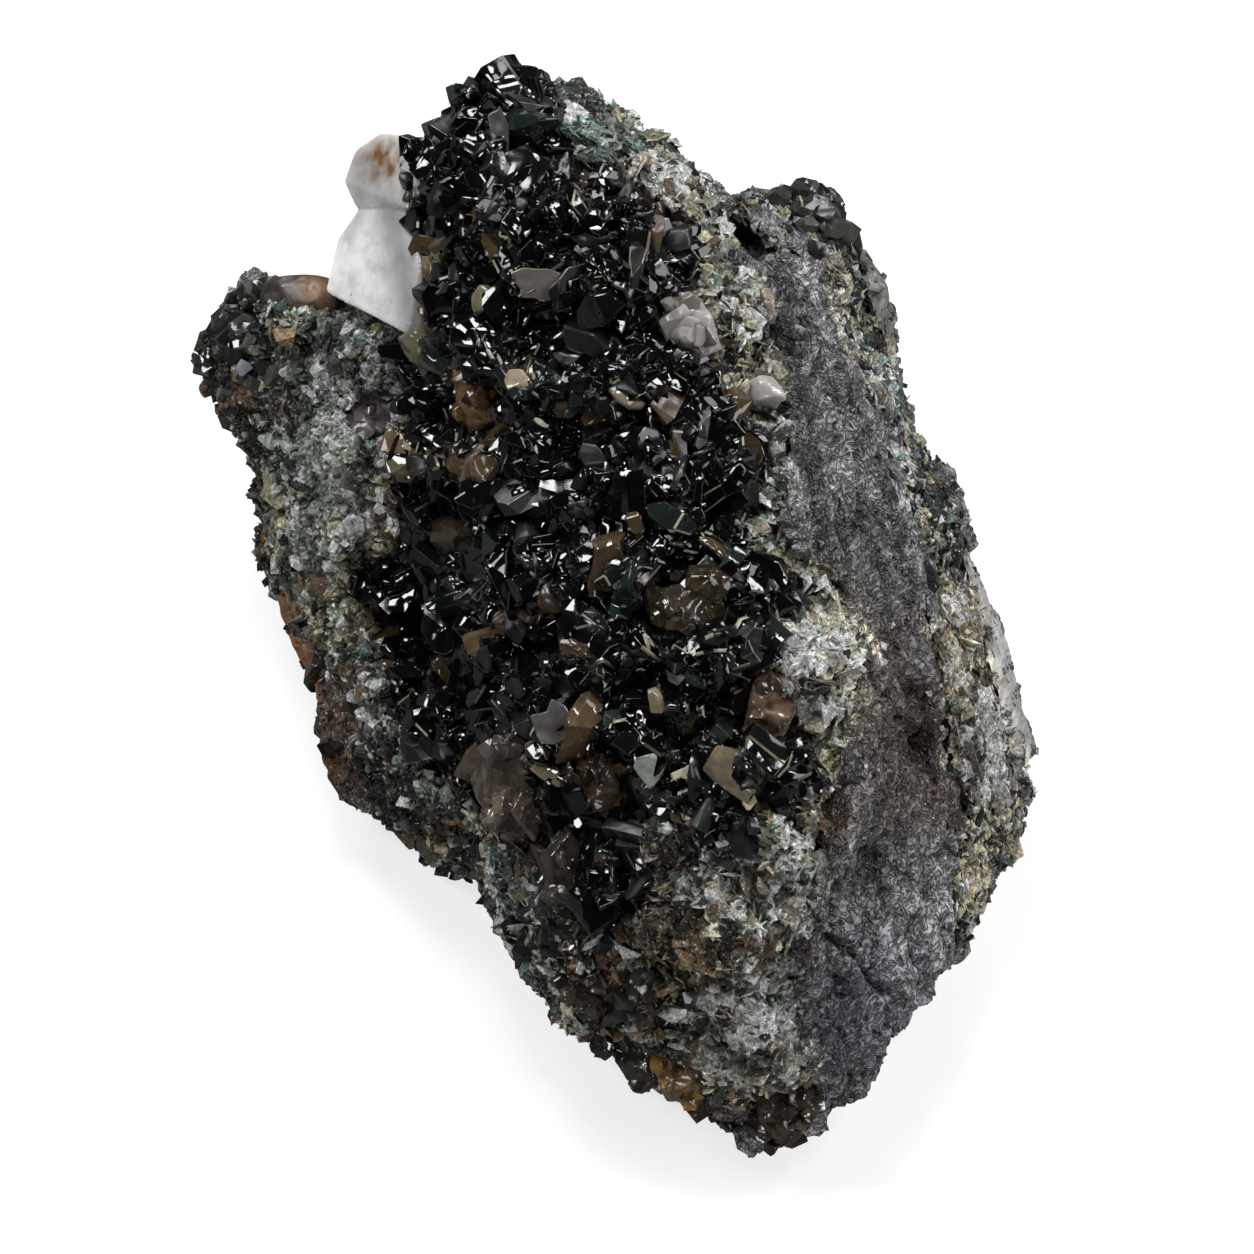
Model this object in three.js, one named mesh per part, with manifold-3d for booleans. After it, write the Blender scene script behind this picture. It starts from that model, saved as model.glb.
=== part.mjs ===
// A kulanite specimen: a lump of grey ironstone with a druse of black kulanite crystals in its
// hollow, pale green crusts of small crystals round it, and crystals of siderite and quartz.
// Millimetres, +Z up. The origin is the middle of the specimen's box, on the surface it lies on.
//
// The visible side is laid out in a picture plane, seen from viewElevation above the table:
// u runs to the right and v up in that plane, and z is the height above the table.

import * as THREE from "three";
import { ConvexGeometry } from "three/addons/geometries/ConvexGeometry.js";
import { mergeVertices } from "three/addons/utils/BufferGeometryUtils.js";
import Module from "manifold-3d";

const wasm = await Module();
wasm.setup();

// Driving dimensions
const viewElevation = THREE.MathUtils.degToRad(60);
const middle = { u: -0.7, v: 0.7 };
const footMiddle = new THREE.Vector3(0, -9, -2);
const bodySteps = { round: 52, across: 12 };
const crustSteps = { round: 34, across: 9 };
const coreSteps = { round: 16, across: 6 };
const gap = 0.3;
const crustDepth = 3;
const baseLevel = 0.6;
const crustLift = 0.5;
const columnLength = 60;
const farAway = 200;

// Where the silhouette runs, clockwise from the top: [u, v, z].
const rim = [
  [-7.3, 36.1, 39.5], [-6.7, 36.9, 39.5], [-5, 36.5, 39.5], [-3.3, 35.9, 39.5],
  [-1.3, 34.3, 39.5], [1.3, 32.3, 38.5], [3.3, 30.7, 37], [5.3, 28.3, 35], [6.8, 27.5, 31.5],
  [8.3, 28.8, 31], [10.3, 29.5, 31], [13, 29, 30], [15, 27.3, 28.5], [17, 24.7, 26],
  [17.9, 22, 24.5], [18.1, 18, 22.5], [19, 14, 20.5], [20, 11, 19], [21.7, 9.7, 17.5],
  [22.7, 7, 16.5], [23.3, 4, 15.5], [24.7, 1.3, 14], [26, -2, 12.5], [26.7, -5.3, 11.5],
  [27.3, -8.7, 10.5], [28.1, -11.3, 9], [26.8, -12.7, 8.5], [26.9, -16, 7], [25.7, -18.3, 6],
  [24, -19, 6], [23.7, -21, 5.5], [22, -21.7, 6.5], [20.7, -24.3, 7], [19.7, -27.3, 6.5],
  [18.7, -29.7, 6], [16.3, -31.7, 5.5], [15, -33.3, 5], [13, -35, 4.5], [11.7, -36.3, 4],
  [10, -36.1, 4], [8, -35.5, 4], [5.3, -34.3, 4.5], [4, -33, 5], [1.3, -32.1, 5],
  [0.3, -30.7, 5.5], [-2, -29, 6], [-4.3, -27.3, 7], [-5.7, -24.7, 8], [-7.3, -21.7, 8.5],
  [-8.9, -19.3, 8], [-9.5, -17.2, 6], [-11, -17.2, 4], [-13.3, -15.3, 4], [-16, -13.3, 4.5],
  [-18.3, -12.3, 4.5], [-20.1, -10.3, 5], [-20.5, -7.3, 6], [-20.9, -5.3, 6.5],
  [-20.3, -4, 8], [-21, -2, 9], [-22.3, 1, 10], [-23.3, 3.7, 11], [-23.7, 6, 12],
  [-23, 7.7, 13.5], [-24.5, 10, 15], [-25.9, 12, 16], [-27, 14.7, 17.5], [-28, 16.3, 18.5],
  [-28.5, 18.3, 20], [-27.7, 20, 21.5], [-25.7, 21.3, 23], [-23.3, 22.5, 24.5],
  [-21.3, 22.8, 26], [-19.7, 22, 27], [-15.7, 20.7, 30], [-14.5, 24, 33], [-14.7, 27.3, 35.5],
  [-14.7, 31.3, 37], [-14.3, 32.7, 37.5], [-13.3, 34.3, 38.5], [-11.7, 34.5, 39],
  [-10, 34.8, 39.5], [-8.3, 35.9, 39.5],
];

// Heights inside the silhouette: [u, v, z].
const relief = {
  head: [
    [-11.3, 30.7, 40.5], [-6.7, 32, 42], [-6.7, 27.3, 43.5], [-1.3, 27.3, 43],
    [-4, 20.7, 42.5], [2, 24, 41.5], [-9.3, 20.7, 38.5], [-12.7, 24, 35], [-12.7, 28.7, 38],
  ],
  druseFloor: [
    [-6.7, 14, 37.5], [-1.3, 10.7, 38], [4, 10.7, 38.5], [-4, 4, 34], [2, 0.7, 34.5],
    [-8, 0.7, 29.5], [-6, -6, 28], [0, -9.3, 29], [5.3, -6, 31.5], [-5.3, -12.7, 24.5],
    [0, -16, 25], [5.3, -16, 26],
  ],
  nose: [
    [-4, -20.7, 18], [1.3, -22.7, 19], [6.7, -23.3, 20.5], [-1.3, -27.3, 12.5],
    [4, -29.3, 12], [9.3, -31.3, 10], [6.7, -33.3, 7],
  ],
  crest: [
    [2.7, 29.3, 40], [6, 24, 40.5], [7.3, 19.3, 40.5], [8.7, 14, 40], [10, 7.3, 38],
    [12.7, 0.7, 36], [15.3, -2.7, 34], [13.3, -9.3, 31], [12, -16, 28], [11.3, -22.7, 22.5],
    [11.3, -28.7, 14.5],
  ],
  greyFace: [
    [7, 25.7, 36], [11.3, 18.7, 34], [14.7, 12.7, 31.5], [16, 6, 29.5], [17.3, -0.7, 27.5],
    [18.7, -7.3, 24.5], [18.7, -14, 21], [17.3, -20.7, 18.5], [16.7, -26, 15],
    [14.7, -31.3, 9],
  ],
  rightLobe: [
    [8.3, 25, 30], [10.7, 27, 32.5], [13.3, 25.3, 33.5], [16, 20.7, 30], [17.3, 15.3, 27],
    [20, 8.7, 24], [21.3, 3.3, 21.5], [22.7, -2, 19.5], [24, -7.3, 17], [24.7, -12.7, 13],
    [23.3, -18, 9.5], [21, -10, 17],
  ],
  leftLobe: [
    [-25.3, 18, 23.5], [-21.3, 18.7, 27], [-18, 17.3, 28.5], [-18.7, 12.7, 26],
    [-22.7, 12, 21], [-19.3, 6, 21], [-21.3, 6, 17], [-18.7, 0.7, 17.5], [-18, -4.7, 14],
    [-14.7, -10, 13], [-12, -14, 10], [-18.7, -8.7, 10], [-15.3, 15.3, 29], [-16, 9.3, 26],
    [-16.7, 3.3, 21],
  ],
  hollow: [
    [-13.3, 12, 25], [-12, 7.3, 22.5], [-12, 2.7, 19], [-12.7, -2, 16.5], [-14, 0.7, 17.5],
    [-10, -5.3, 19], [-11.3, 15.3, 33], [-9.3, 9.3, 32], [-8.7, 4.7, 30], [-9.3, -12.7, 17],
    [-8, -16.7, 14], [-6, -19.3, 14],
  ],
};

// Where each crust lies, as outlines in the picture plane, and how far back it reaches.
const druseArea = {
  backDepth: 15.5,
  backLean: 0.14,
  outline: [
    [-8, 35.7], [-5, 34], [-2.3, 29.3], [1.3, 28.3], [4.7, 25.3], [5.3, 21], [3.2, 20.3],
    [4.7, 15.3], [7.7, 12], [8.3, 8.3], [6.3, 5.3], [8, 2.7], [12, 1.3], [9.3, -2], [9, -6],
    [12, -10], [11.3, -13.3], [5.3, -13.3], [2.7, -12], [1.3, -15.3], [2, -19.3],
    [-1.3, -21.3], [-4, -18.7], [-6.7, -14.7], [-10, -10.7], [-14.7, -7.3], [-16.3, -2],
    [-16.7, 1.3], [-14.7, 4.7], [-15, 9.3], [-13.3, 12.7], [-14.3, 17.3], [-13.7, 20.7],
    [-14.3, 25.3], [-14.7, 30], [-13.3, 34],
  ],
};
const crestArea = {
  backDepth: 21,
  backLean: 0,
  outline: [
    [-5.3, 38], [-0.7, 35.3], [2, 33.3], [4.7, 29.7], [5.7, 27.3], [7.2, 23.3], [8.5, 20.7],
    [10.1, 14.7], [10.7, 10.7], [10.3, 7.3], [12, 3.3], [14.3, 0.7], [16.1, -2.7], [15, -6],
    [14, -10], [13, -14], [12.3, -17.3], [12, -21.3], [11.2, -25.3], [12, -28.7],
    [11.7, -31.7], [8, -32.7], [4.7, -33], [1.3, -33.3], [-2.7, -30], [-6.7, -24.7],
    [-9.7, -19.3], [-10, -16], [-11, -10.7], [0, -6], [1.3, 7.3], [-1.3, 20.7], [-8, 27.3],
  ],
};
const leftArea = {
  backDepth: 9,
  backLean: 0,
  outline: [
    [-29.3, 18], [-26.3, 21.7], [-23.9, 20.7], [-20, 20.3], [-18.3, 19.5], [-14.7, 17.7],
    [-13.7, 12.7], [-15.3, 9.3], [-15, 4.7], [-16.8, 1.3], [-16.5, -2], [-15, -7.3],
    [-10.3, -11], [-9.3, -16], [-10.7, -18], [-13.3, -16.3], [-15.7, -14], [-16.9, -10],
    [-16.5, -6], [-18.3, -4.1], [-19.9, -2], [-21.3, 1.3], [-22, 6], [-25.3, 10.7],
    [-28.7, 15.3],
  ],
};
const rightArea = {
  backDepth: 14,
  backLean: 0,
  outline: [
    [7, 27.3], [8.3, 29.7], [10.7, 30.3], [14, 28.7], [15.5, 25.7], [16.1, 21.3],
    [17.5, 17.3], [19, 13.3], [22, 6], [23.2, 0.7], [24.5, -4.7], [25.7, -8.7],
    [27.7, -12.7], [27.3, -17.3], [25.3, -19.3], [23.7, -21.7], [21.9, -22], [22.3, -18],
    [23.7, -14.7], [22.7, -10], [21.7, -4.7], [20.3, 0.7], [18.7, 5.3], [17.1, 11.3],
    [15.7, 16], [14.3, 20], [12, 23.7], [9.3, 25.7],
  ],
};

// A repeatable stream of numbers from 0 to 1.
function seeded(seed) {
  let state = seed >>> 0;
  return () => {
    state = (state + 0x6d2b79f5) >>> 0;
    let t = Math.imul(state ^ (state >>> 15), 1 | state);
    t = (t + Math.imul(t ^ (t >>> 7), 61 | t)) ^ t;
    return ((t ^ (t >>> 14)) >>> 0) / 4294967296;
  };
}

function between([least, most], random) {
  return least + (most - least) * random();
}

// The picture plane's own axes in the specimen's frame: right, up, and towards the viewer.
const right = new THREE.Vector3(1, 0, 0);
const up = new THREE.Vector3(0, Math.sin(viewElevation), Math.cos(viewElevation));
const towards = new THREE.Vector3(0, -Math.cos(viewElevation), Math.sin(viewElevation));
const pictureFrame = new THREE.Matrix4().makeBasis(right, up, towards);

// The point at height z that the viewer sees at (u, v).
function seenAt(u, v, z) {
  const y = (v - z * Math.cos(viewElevation)) / Math.sin(viewElevation);
  return new THREE.Vector3(u, y, z);
}

// Smooth noise between -1 and 1, from lattice values that a hash gives.
function latticeValue(x, y, z) {
  let h = Math.imul(x, 374761393) ^ Math.imul(y, 668265263) ^ Math.imul(z, 2147483629);
  h = Math.imul(h ^ (h >>> 13), 1274126177);
  return ((h ^ (h >>> 16)) >>> 0) / 2147483648 - 1;
}

function noise(p, wavelength) {
  const q = p.clone().divideScalar(wavelength);
  const cell = q.clone().floor();
  const f = q.sub(cell);
  const fade = (t) => t * t * (3 - 2 * t);
  let sum = 0;
  for (let corner = 0; corner < 8; corner++) {
    const [i, j, k] = [corner & 1, (corner >> 1) & 1, (corner >> 2) & 1];
    const weight =
      (i ? fade(f.x) : 1 - fade(f.x)) *
      (j ? fade(f.y) : 1 - fade(f.y)) *
      (k ? fade(f.z) : 1 - fade(f.z));
    sum += weight * latticeValue(cell.x + i, cell.y + j, cell.z + k);
  }
  return sum;
}

// A surface through scattered heights, [u, v, value] each, with a crease at every one of them.
function surfaceThrough(points) {
  const n = points.length;
  const distance = (a, b) => Math.hypot(a[0] - b[0], a[1] - b[1]);
  const rows = points.map((p) => [
    ...points.map((q) => distance(p, q)), 1, p[0], p[1], p[2],
  ]);
  rows.push([...points.map(() => 1), 0, 0, 0, 0]);
  rows.push([...points.map((q) => q[0]), 0, 0, 0, 0]);
  rows.push([...points.map((q) => q[1]), 0, 0, 0, 0]);
  for (let c = 0; c < rows.length; c++) {
    let pivot = c;
    for (let r = c + 1; r < rows.length; r++)
      if (Math.abs(rows[r][c]) > Math.abs(rows[pivot][c])) pivot = r;
    [rows[c], rows[pivot]] = [rows[pivot], rows[c]];
    for (let r = 0; r < rows.length; r++) {
      if (r === c) continue;
      const share = rows[r][c] / rows[c][c];
      for (let k = c; k < rows[c].length; k++) rows[r][k] -= share * rows[c][k];
    }
  }
  const weights = rows.map((row, i) => row[rows.length] / row[i]);
  return (u, v) => {
    let sum = weights[n] + weights[n + 1] * u + weights[n + 2] * v;
    points.forEach((p, i) => (sum += weights[i] * distance(p, [u, v])));
    return sum;
  };
}

// How far the silhouette is from its middle in the direction of angle, and its height there.
function rimAt(angle) {
  const [du, dv] = [Math.cos(angle), Math.sin(angle)];
  for (let i = 0; i < rim.length; i++) {
    const [a, b] = [rim[i], rim[(i + 1) % rim.length]];
    const [au, av] = [a[0] - middle.u, a[1] - middle.v];
    const [bu, bv] = [b[0] - middle.u, b[1] - middle.v];
    const sideA = du * av - dv * au;
    const sideB = du * bv - dv * bu;
    if (sideA * sideB > 0 || sideA === sideB) continue;
    const t = sideA / (sideA - sideB);
    const reach = du * (au + t * (bu - au)) + dv * (av + t * (bv - av));
    if (reach > 0) return { reach, z: a[2] + t * (b[2] - a[2]) };
  }
  throw new Error("the silhouette doesn't surround its middle");
}

// The visible surface: a sheet hung from the rim, with the relief bulging out of it and turning
// down steeply as it nears the silhouette.
const rimSheet = surfaceThrough(rim);
const reliefPoints = Object.values(relief).flat();
const turnDownSharpness = 8;
const leastTurnDown = 0.35;
const turnDown = (share) => Math.sqrt(Math.max(0, 1 - Math.pow(share, turnDownSharpness)));

function shareOfReach(u, v) {
  const [du, dv] = [u - middle.u, v - middle.v];
  return Math.hypot(du, dv) / rimAt(Math.atan2(dv, du)).reach;
}

const bulge = surfaceThrough(
  reliefPoints.map(([u, v, z]) => [
    u, v, (z - rimSheet(u, v)) / Math.max(leastTurnDown, turnDown(shareOfReach(u, v))),
  ]),
);

function heightAt(u, v) {
  return rimSheet(u, v) + bulge(u, v) * turnDown(shareOfReach(u, v));
}

// The rim evened out over its neighbourhood, which the hidden side below follows.
const evenedOver = [-0.5, -0.25, 0, 0.25, 0.5];

function evenRimAt(angle) {
  const samples = evenedOver.map((turn) => rimAt(angle + turn));
  const mean = (key) => samples.reduce((sum, each) => sum + each[key], 0) / samples.length;
  return { reach: Math.min(mean("reach"), rimAt(angle).reach), z: mean("z") };
}

function rimPoint({ reach, z }, angle) {
  return seenAt(middle.u + reach * Math.cos(angle), middle.v + reach * Math.sin(angle), z);
}

// The whole lump without its crystals.
function lump(steps) {
  const ball = new THREE.SphereGeometry(1, steps.round, steps.across);
  const place = ball.attributes.position;
  for (let i = 0; i < place.count; i++) {
    const direction = new THREE.Vector3().fromBufferAttribute(place, i);
    const angle = Math.atan2(-direction.z, direction.x);
    const fromViewer = Math.acos(THREE.MathUtils.clamp(direction.y, -1, 1));
    const edge = rimAt(angle);
    const front = fromViewer < Math.PI / 2 - 1e-6;
    const share = Math.sin(fromViewer);
    const u = middle.u + share * edge.reach * Math.cos(angle);
    const v = middle.v + share * edge.reach * Math.sin(angle);
    const point = front
      ? seenAt(u, v, heightAt(u, v))
      : sideBelow(rimPoint(edge, angle), angle, fromViewer / (Math.PI / 2) - 1);
    place.setXYZ(i, point.x, point.y, point.z);
  }
  return closed(ball);
}

// A lump with its surface roughened, more so on the hidden side.
const hiddenNormal = { leastY: 0.2, mostZ: 0 };
const shownRough = { height: 0.4, wavelength: 5.5, swell: 0.2 };
const hiddenRough = { height: 1.1, wavelength: 8, swell: 0 };

function roughened(geometry) {
  const outwards = geometry.attributes.normal;
  return moved(geometry, (point, i) => {
    const hidden =
      outwards.getY(i) > hiddenNormal.leastY || outwards.getZ(i) < hiddenNormal.mostZ;
    const { height, wavelength, swell } = hidden ? hiddenRough : shownRough;
    return swell + height * (noise(point, wavelength) + 0.5 * noise(point, wavelength / 2));
  });
}

// A geometry with each corner moved outwards.
function moved(geometry, distanceOf) {
  const made = geometry.clone();
  const [place, outwards] = [made.attributes.position, made.attributes.normal];
  for (let i = 0; i < place.count; i++) {
    const point = new THREE.Vector3().fromBufferAttribute(place, i);
    const normal = new THREE.Vector3().fromBufferAttribute(outwards, i);
    point.addScaledVector(normal, distanceOf(point, i));
    place.setXYZ(i, point.x, point.y, point.z);
  }
  return made;
}

// The hidden side under a point of the rim: share runs from 0 at the rim to 1 at the middle of
// the foot. The near side is undercut, and the far side bulges out behind.
const bellyHeight = 0.42;
const bellyReach = { sides: 0.985, far: 0.24, near: -0.06 };
const footReach = { sides: 0.84, far: 0.2, near: -0.02 };
const wallShare = 0.78;

function sideBelow(top, angle, share) {
  const far = Math.max(0, Math.sin(angle));
  const near = Math.max(0, -Math.sin(angle));
  const even = rimPoint(evenRimAt(angle), angle);
  const out = even.clone().sub(footMiddle).setZ(0);
  const toBelly = bellyReach.sides + bellyReach.far * far * far + bellyReach.near * near;
  const toFoot = footReach.sides + footReach.far * far + footReach.near * near;
  const belly = footMiddle.clone().addScaledVector(out, toBelly).setZ(bellyHeight * even.z);
  const foot = footMiddle.clone().addScaledVector(out, toFoot);
  if (share > wallShare) return foot.lerp(footMiddle, (share - wallShare) / (1 - wallShare));
  return new THREE.QuadraticBezierCurve3(top, belly, foot).getPoint(share / wallShare);
}

// A geometry with its corners shared, its flat triangles dropped and its normals worked out.
function closed(geometry) {
  const bare = new THREE.BufferGeometry();
  bare.setAttribute("position", geometry.attributes.position);
  if (geometry.index) bare.setIndex(geometry.index);
  const merged = mergeVertices(bare, 1e-4);
  const index = merged.index.array;
  const corners = [];
  for (let i = 0; i < index.length; i += 3) {
    const [a, b, c] = [index[i], index[i + 1], index[i + 2]];
    if (a !== b && b !== c && c !== a) corners.push(a, b, c);
  }
  merged.setIndex(corners);
  merged.computeVertexNormals();
  return merged;
}

// A closed geometry as a solid that can be cut and joined.
function solid(geometry) {
  const merged = closed(geometry);
  return new wasm.Manifold(
    new wasm.Mesh({
      numProp: 3,
      vertProperties: merged.attributes.position.array,
      triVerts: new Uint32Array(merged.index.array),
    }),
  );
}

// The largest of the separate bodies in a solid.
function largest(made) {
  const bodies = made.decompose();
  return bodies.reduce((best, each) => (each.volume() > best.volume() ? each : best));
}

function joined(solids) {
  return solids.reduce((sum, next) => sum.add(next));
}

function without(made, others) {
  return others.reduce((rest, other) => rest.subtract(other), made);
}

// A crystal is a list of faces, { normal, distance } from the origin. Each corner where three
// faces meet inside all the others is a corner of the crystal, and grow moves every face out.
function crystalSolid(faces, grow) {
  const moved = faces.map((f) => ({ normal: f.normal, distance: f.distance + grow }));
  const corners = [];
  for (let i = 0; i < moved.length; i++)
    for (let j = i + 1; j < moved.length; j++)
      for (let k = j + 1; k < moved.length; k++) {
        const corner = meetingPoint(moved[i], moved[j], moved[k]);
        if (!corner) continue;
        if (moved.some((f) => f.normal.dot(corner) > f.distance + 1e-5)) continue;
        if (corners.every((c) => c.distanceTo(corner) > 1e-3)) corners.push(corner);
      }
  return solid(new ConvexGeometry(corners));
}

function meetingPoint(a, b, c) {
  const bc = b.normal.clone().cross(c.normal);
  const volume = a.normal.dot(bc);
  if (Math.abs(volume) < 1e-4) return null;
  const ca = c.normal.clone().cross(a.normal);
  const ab = a.normal.clone().cross(b.normal);
  return bc
    .multiplyScalar(a.distance)
    .addScaledVector(ca, b.distance)
    .addScaledVector(ab, c.distance)
    .divideScalar(volume);
}

// The faces of a crystal in its own frame, turned and moved to its place.
function placed(faces, turn, at) {
  return faces.map((f) => {
    const normal = f.normal.clone().applyQuaternion(turn);
    return { normal, distance: f.distance + normal.dot(at) };
  });
}

// The faces of the solid that a few corners span, each [u, v, z].
function facesAround(corners) {
  const hull = new ConvexGeometry(corners.map((c) => seenAt(...c)));
  const place = hull.attributes.position;
  const faces = [];
  for (let i = 0; i < place.count; i += 3) {
    const [a, b, c] = [0, 1, 2].map((k) => new THREE.Vector3().fromBufferAttribute(place, i + k));
    const normal = b.clone().sub(a).cross(c.clone().sub(a)).normalize();
    if (faces.every((f) => f.normal.dot(normal) < 0.9999))
      faces.push({ normal, distance: normal.dot(a) });
  }
  return faces;
}

// A kulanite blade: two broad faces across its own z, and a rim of slanted faces that wedge it.
const bladeRim = { sides: 5, turn: [-0.175, 0.175], slant: [0.25, 0.6], reach: [0.85, 1.05] };
const bladeTilt = [-0.06, 0.06];

function bladeFaces(length, width, thickness, random) {
  const faces = [];
  for (const side of [1, -1]) {
    const tilt = new THREE.Vector3(between(bladeTilt, random), between(bladeTilt, random), side);
    faces.push({ normal: tilt.normalize(), distance: thickness / 2 });
  }
  for (let k = 0; k < bladeRim.sides; k++) {
    const angle = (k + between(bladeRim.turn, random)) * ((2 * Math.PI) / bladeRim.sides);
    const slant = (k % 2 ? 1 : -1) * between(bladeRim.slant, random);
    const [x, y] = [Math.cos(angle), Math.sin(angle)];
    const reach = Math.hypot((x * width) / 2, (y * length) / 2);
    faces.push({
      normal: new THREE.Vector3(x, y, slant).normalize(),
      distance: reach * between(bladeRim.reach, random),
    });
  }
  return faces;
}

// A blunt many-faced block, such as a siderite rhomb with worn edges or a grain of a crust. Its
// extra faces cut the corners at the end that points outwards.
const blockTilt = [-0.25, 0.25];
const extraFace = { aside: [-0.5, 0.5], outwards: [0.2, 0.7], reach: [0.95, 1.15] };

function blockFaces(halfX, halfY, halfZ, extraFaces, random) {
  const faces = [];
  const half = [halfX, halfY, halfZ];
  for (let axis = 0; axis < 3; axis++)
    for (const side of [1, -1]) {
      const normal = new THREE.Vector3(...half.map(() => between(blockTilt, random)));
      faces.push({ normal: normal.setComponent(axis, side).normalize(), distance: half[axis] });
    }
  for (let k = 0; k < extraFaces; k++) {
    const { aside, outwards, reach } = extraFace;
    const looks = [aside, aside, outwards].map((range) => between(range, random));
    const normal = new THREE.Vector3(...looks).normalize();
    const corner = Math.hypot(normal.x * halfX, normal.y * halfY, normal.z * halfZ);
    faces.push({ normal, distance: corner * between(reach, random) });
  }
  return faces;
}

// Which way the visible surface faces round (u, v).
function facing(u, v) {
  const step = 1.2;
  const at = (du, dv) => seenAt(u + du, v + dv, heightAt(u + du, v + dv));
  const across = at(step, 0).sub(at(-step, 0));
  const along = at(0, step).sub(at(0, -step));
  return across.cross(along).normalize();
}

// The turn that points a crystal's own z along a direction, spun about it.
function turnTo(direction, spin) {
  const tip = new THREE.Quaternion().setFromUnitVectors(new THREE.Vector3(0, 0, 1), direction);
  return tip.multiply(
    new THREE.Quaternion().setFromAxisAngle(new THREE.Vector3(0, 0, 1), spin),
  );
}

function inside(u, v, outline) {
  let odd = false;
  outline.forEach(([au, av], i) => {
    const [bu, bv] = outline[(i + 1) % outline.length];
    if (av > v !== bv > v && u < au + ((v - av) * (bu - au)) / (bv - av)) odd = !odd;
  });
  return odd;
}

// Places spread over an area, at least spacing apart and clear of the circles already taken.
const spreadInset = 0.4;
const tries = 4000;

function spread(outline, spacing, reach, taken, random) {
  const places = [];
  const inner = outset(outline, -spreadInset * spacing);
  const [us, vs] = [outline.map((p) => p[0]), outline.map((p) => p[1])];
  for (let i = 0; i < tries; i++) {
    const u = THREE.MathUtils.lerp(Math.min(...us), Math.max(...us), random());
    const v = THREE.MathUtils.lerp(Math.min(...vs), Math.max(...vs), random());
    if (!inside(u, v, inner) || shareOfReach(u, v) > reach) continue;
    if (places.some((p) => Math.hypot(p[0] - u, p[1] - v) < spacing)) continue;
    if (taken.some((p) => Math.hypot(p[0] - u, p[1] - v) < p[2])) continue;
    places.push([u, v]);
  }
  return places;
}

// An area's outline moved outwards.
function outset(outline, by) {
  const clockwise = THREE.ShapeUtils.area(outline.map((p) => new THREE.Vector2(...p))) < 0;
  return outline.map((p, i) => {
    const before = outline[(i + outline.length - 1) % outline.length];
    const after = outline[(i + 1) % outline.length];
    const out = new THREE.Vector2(after[1] - before[1], before[0] - after[0]).normalize();
    if (clockwise) out.negate();
    return [p[0] + out.x * by, p[1] + out.y * by];
  });
}

// The column over an area, from its back depth towards the viewer.
function column(area, grow) {
  const outline = grow ? outset(area.outline, grow) : area.outline;
  const shape = new THREE.Shape(outline.map((p) => new THREE.Vector2(...p)));
  const block = new THREE.ExtrudeGeometry(shape, { depth: columnLength, bevelEnabled: false });
  const lean = new THREE.Matrix4().makeShear(0, 0, 0, area.backLean, 0, 0);
  block.translate(0, 0, area.backDepth - grow).applyMatrix4(lean).applyMatrix4(pictureFrame);
  return solid(block);
}

// Large kulanite crystals, set by hand: where they are, their length, width and thickness, which
// way the broad face looks in the picture plane, and their spin.
const largeBlades = [
  { at: [-6.5, 35.2], size: [2.6, 2.2, 2.2], looks: [0.1, 0.3], spin: 0.4 },
  { at: [-8.9, 34.4], size: [2.8, 2.2, 1.8], looks: [-0.2, 0.3], spin: 0.9 },
  { at: [-5.4, 21.4], size: [3.6, 3.2, 1.4], looks: [0.1, -0.15], spin: 0.2 },
  { at: [-6.4, 23.2], size: [3.8, 1.9, 1.2], looks: [-0.35, 0.1], spin: 0.1 },
  { at: [-12.8, 29.3], size: [3.4, 3, 1.5], looks: [-0.35, 0.5], spin: 0.7 },
  { at: [-6.7, 28.7], size: [4.2, 2, 1.5], looks: [0.25, 0.45], spin: -0.6 },
  { at: [-9, 31.6], size: [3, 3, 1.6], looks: [-0.1, 0.1], spin: 0.3 },
  { at: [-12.8, 33], size: [3.4, 2.6, 2], looks: [-0.4, 0.3], spin: 0.4 },
  { at: [-1.4, 25.2], size: [2.8, 2.6, 1.5], looks: [0.1, 0.4], spin: 1.2 },
  { at: [1.6, 24.4], size: [3.4, 3, 1.6], looks: [0.3, 0.2], spin: 0.5 },
  { at: [-4.2, 26.7], size: [2.6, 1.8, 1.4], looks: [0.2, 0.5], spin: 0.9 },
  { at: [-11.4, 13.3], size: [3.8, 1.8, 1], looks: [-0.5, -0.2], spin: 0.5 },
  { at: [-5.2, 9.6], size: [4, 2.4, 1.3], looks: [0.5, 0], spin: -0.5 },
  { at: [1.2, 9], size: [4.2, 3.2, 1.3], looks: [-0.3, 0.2], spin: -1.2 },
  { at: [3.4, 6.6], size: [3.6, 3, 1.4], looks: [-0.2, -0.1], spin: 0.4 },
  { at: [-14.6, 0.9], size: [3.6, 2.6, 2.2], looks: [0.1, 0.45], spin: 1.4 },
  { at: [-1.5, 2.9], size: [2.6, 2.2, 1.4], looks: [0.1, 0.5], spin: 0.7 },
  { at: [2.6, 4.2], size: [2.8, 1.8, 1.2], looks: [-0.2, 0.5], spin: 0.9 },
  { at: [0.9, -7.2], size: [3.2, 1.8, 1.4], looks: [-0.3, 0.2], spin: 0 },
  { at: [-9.5, -5], size: [4, 3.2, 1.8], looks: [-0.2, -0.1], spin: 0.3 },
  { at: [-3.2, -7.4], size: [3.4, 3.2, 1.6], looks: [-0.15, 0.1], spin: 0.5 },
  { at: [6.2, -10.6], size: [4, 2.6, 1.8], looks: [0.3, 0.2], spin: 0.6 },
];

const largeBladeRise = 0.35;

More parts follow.
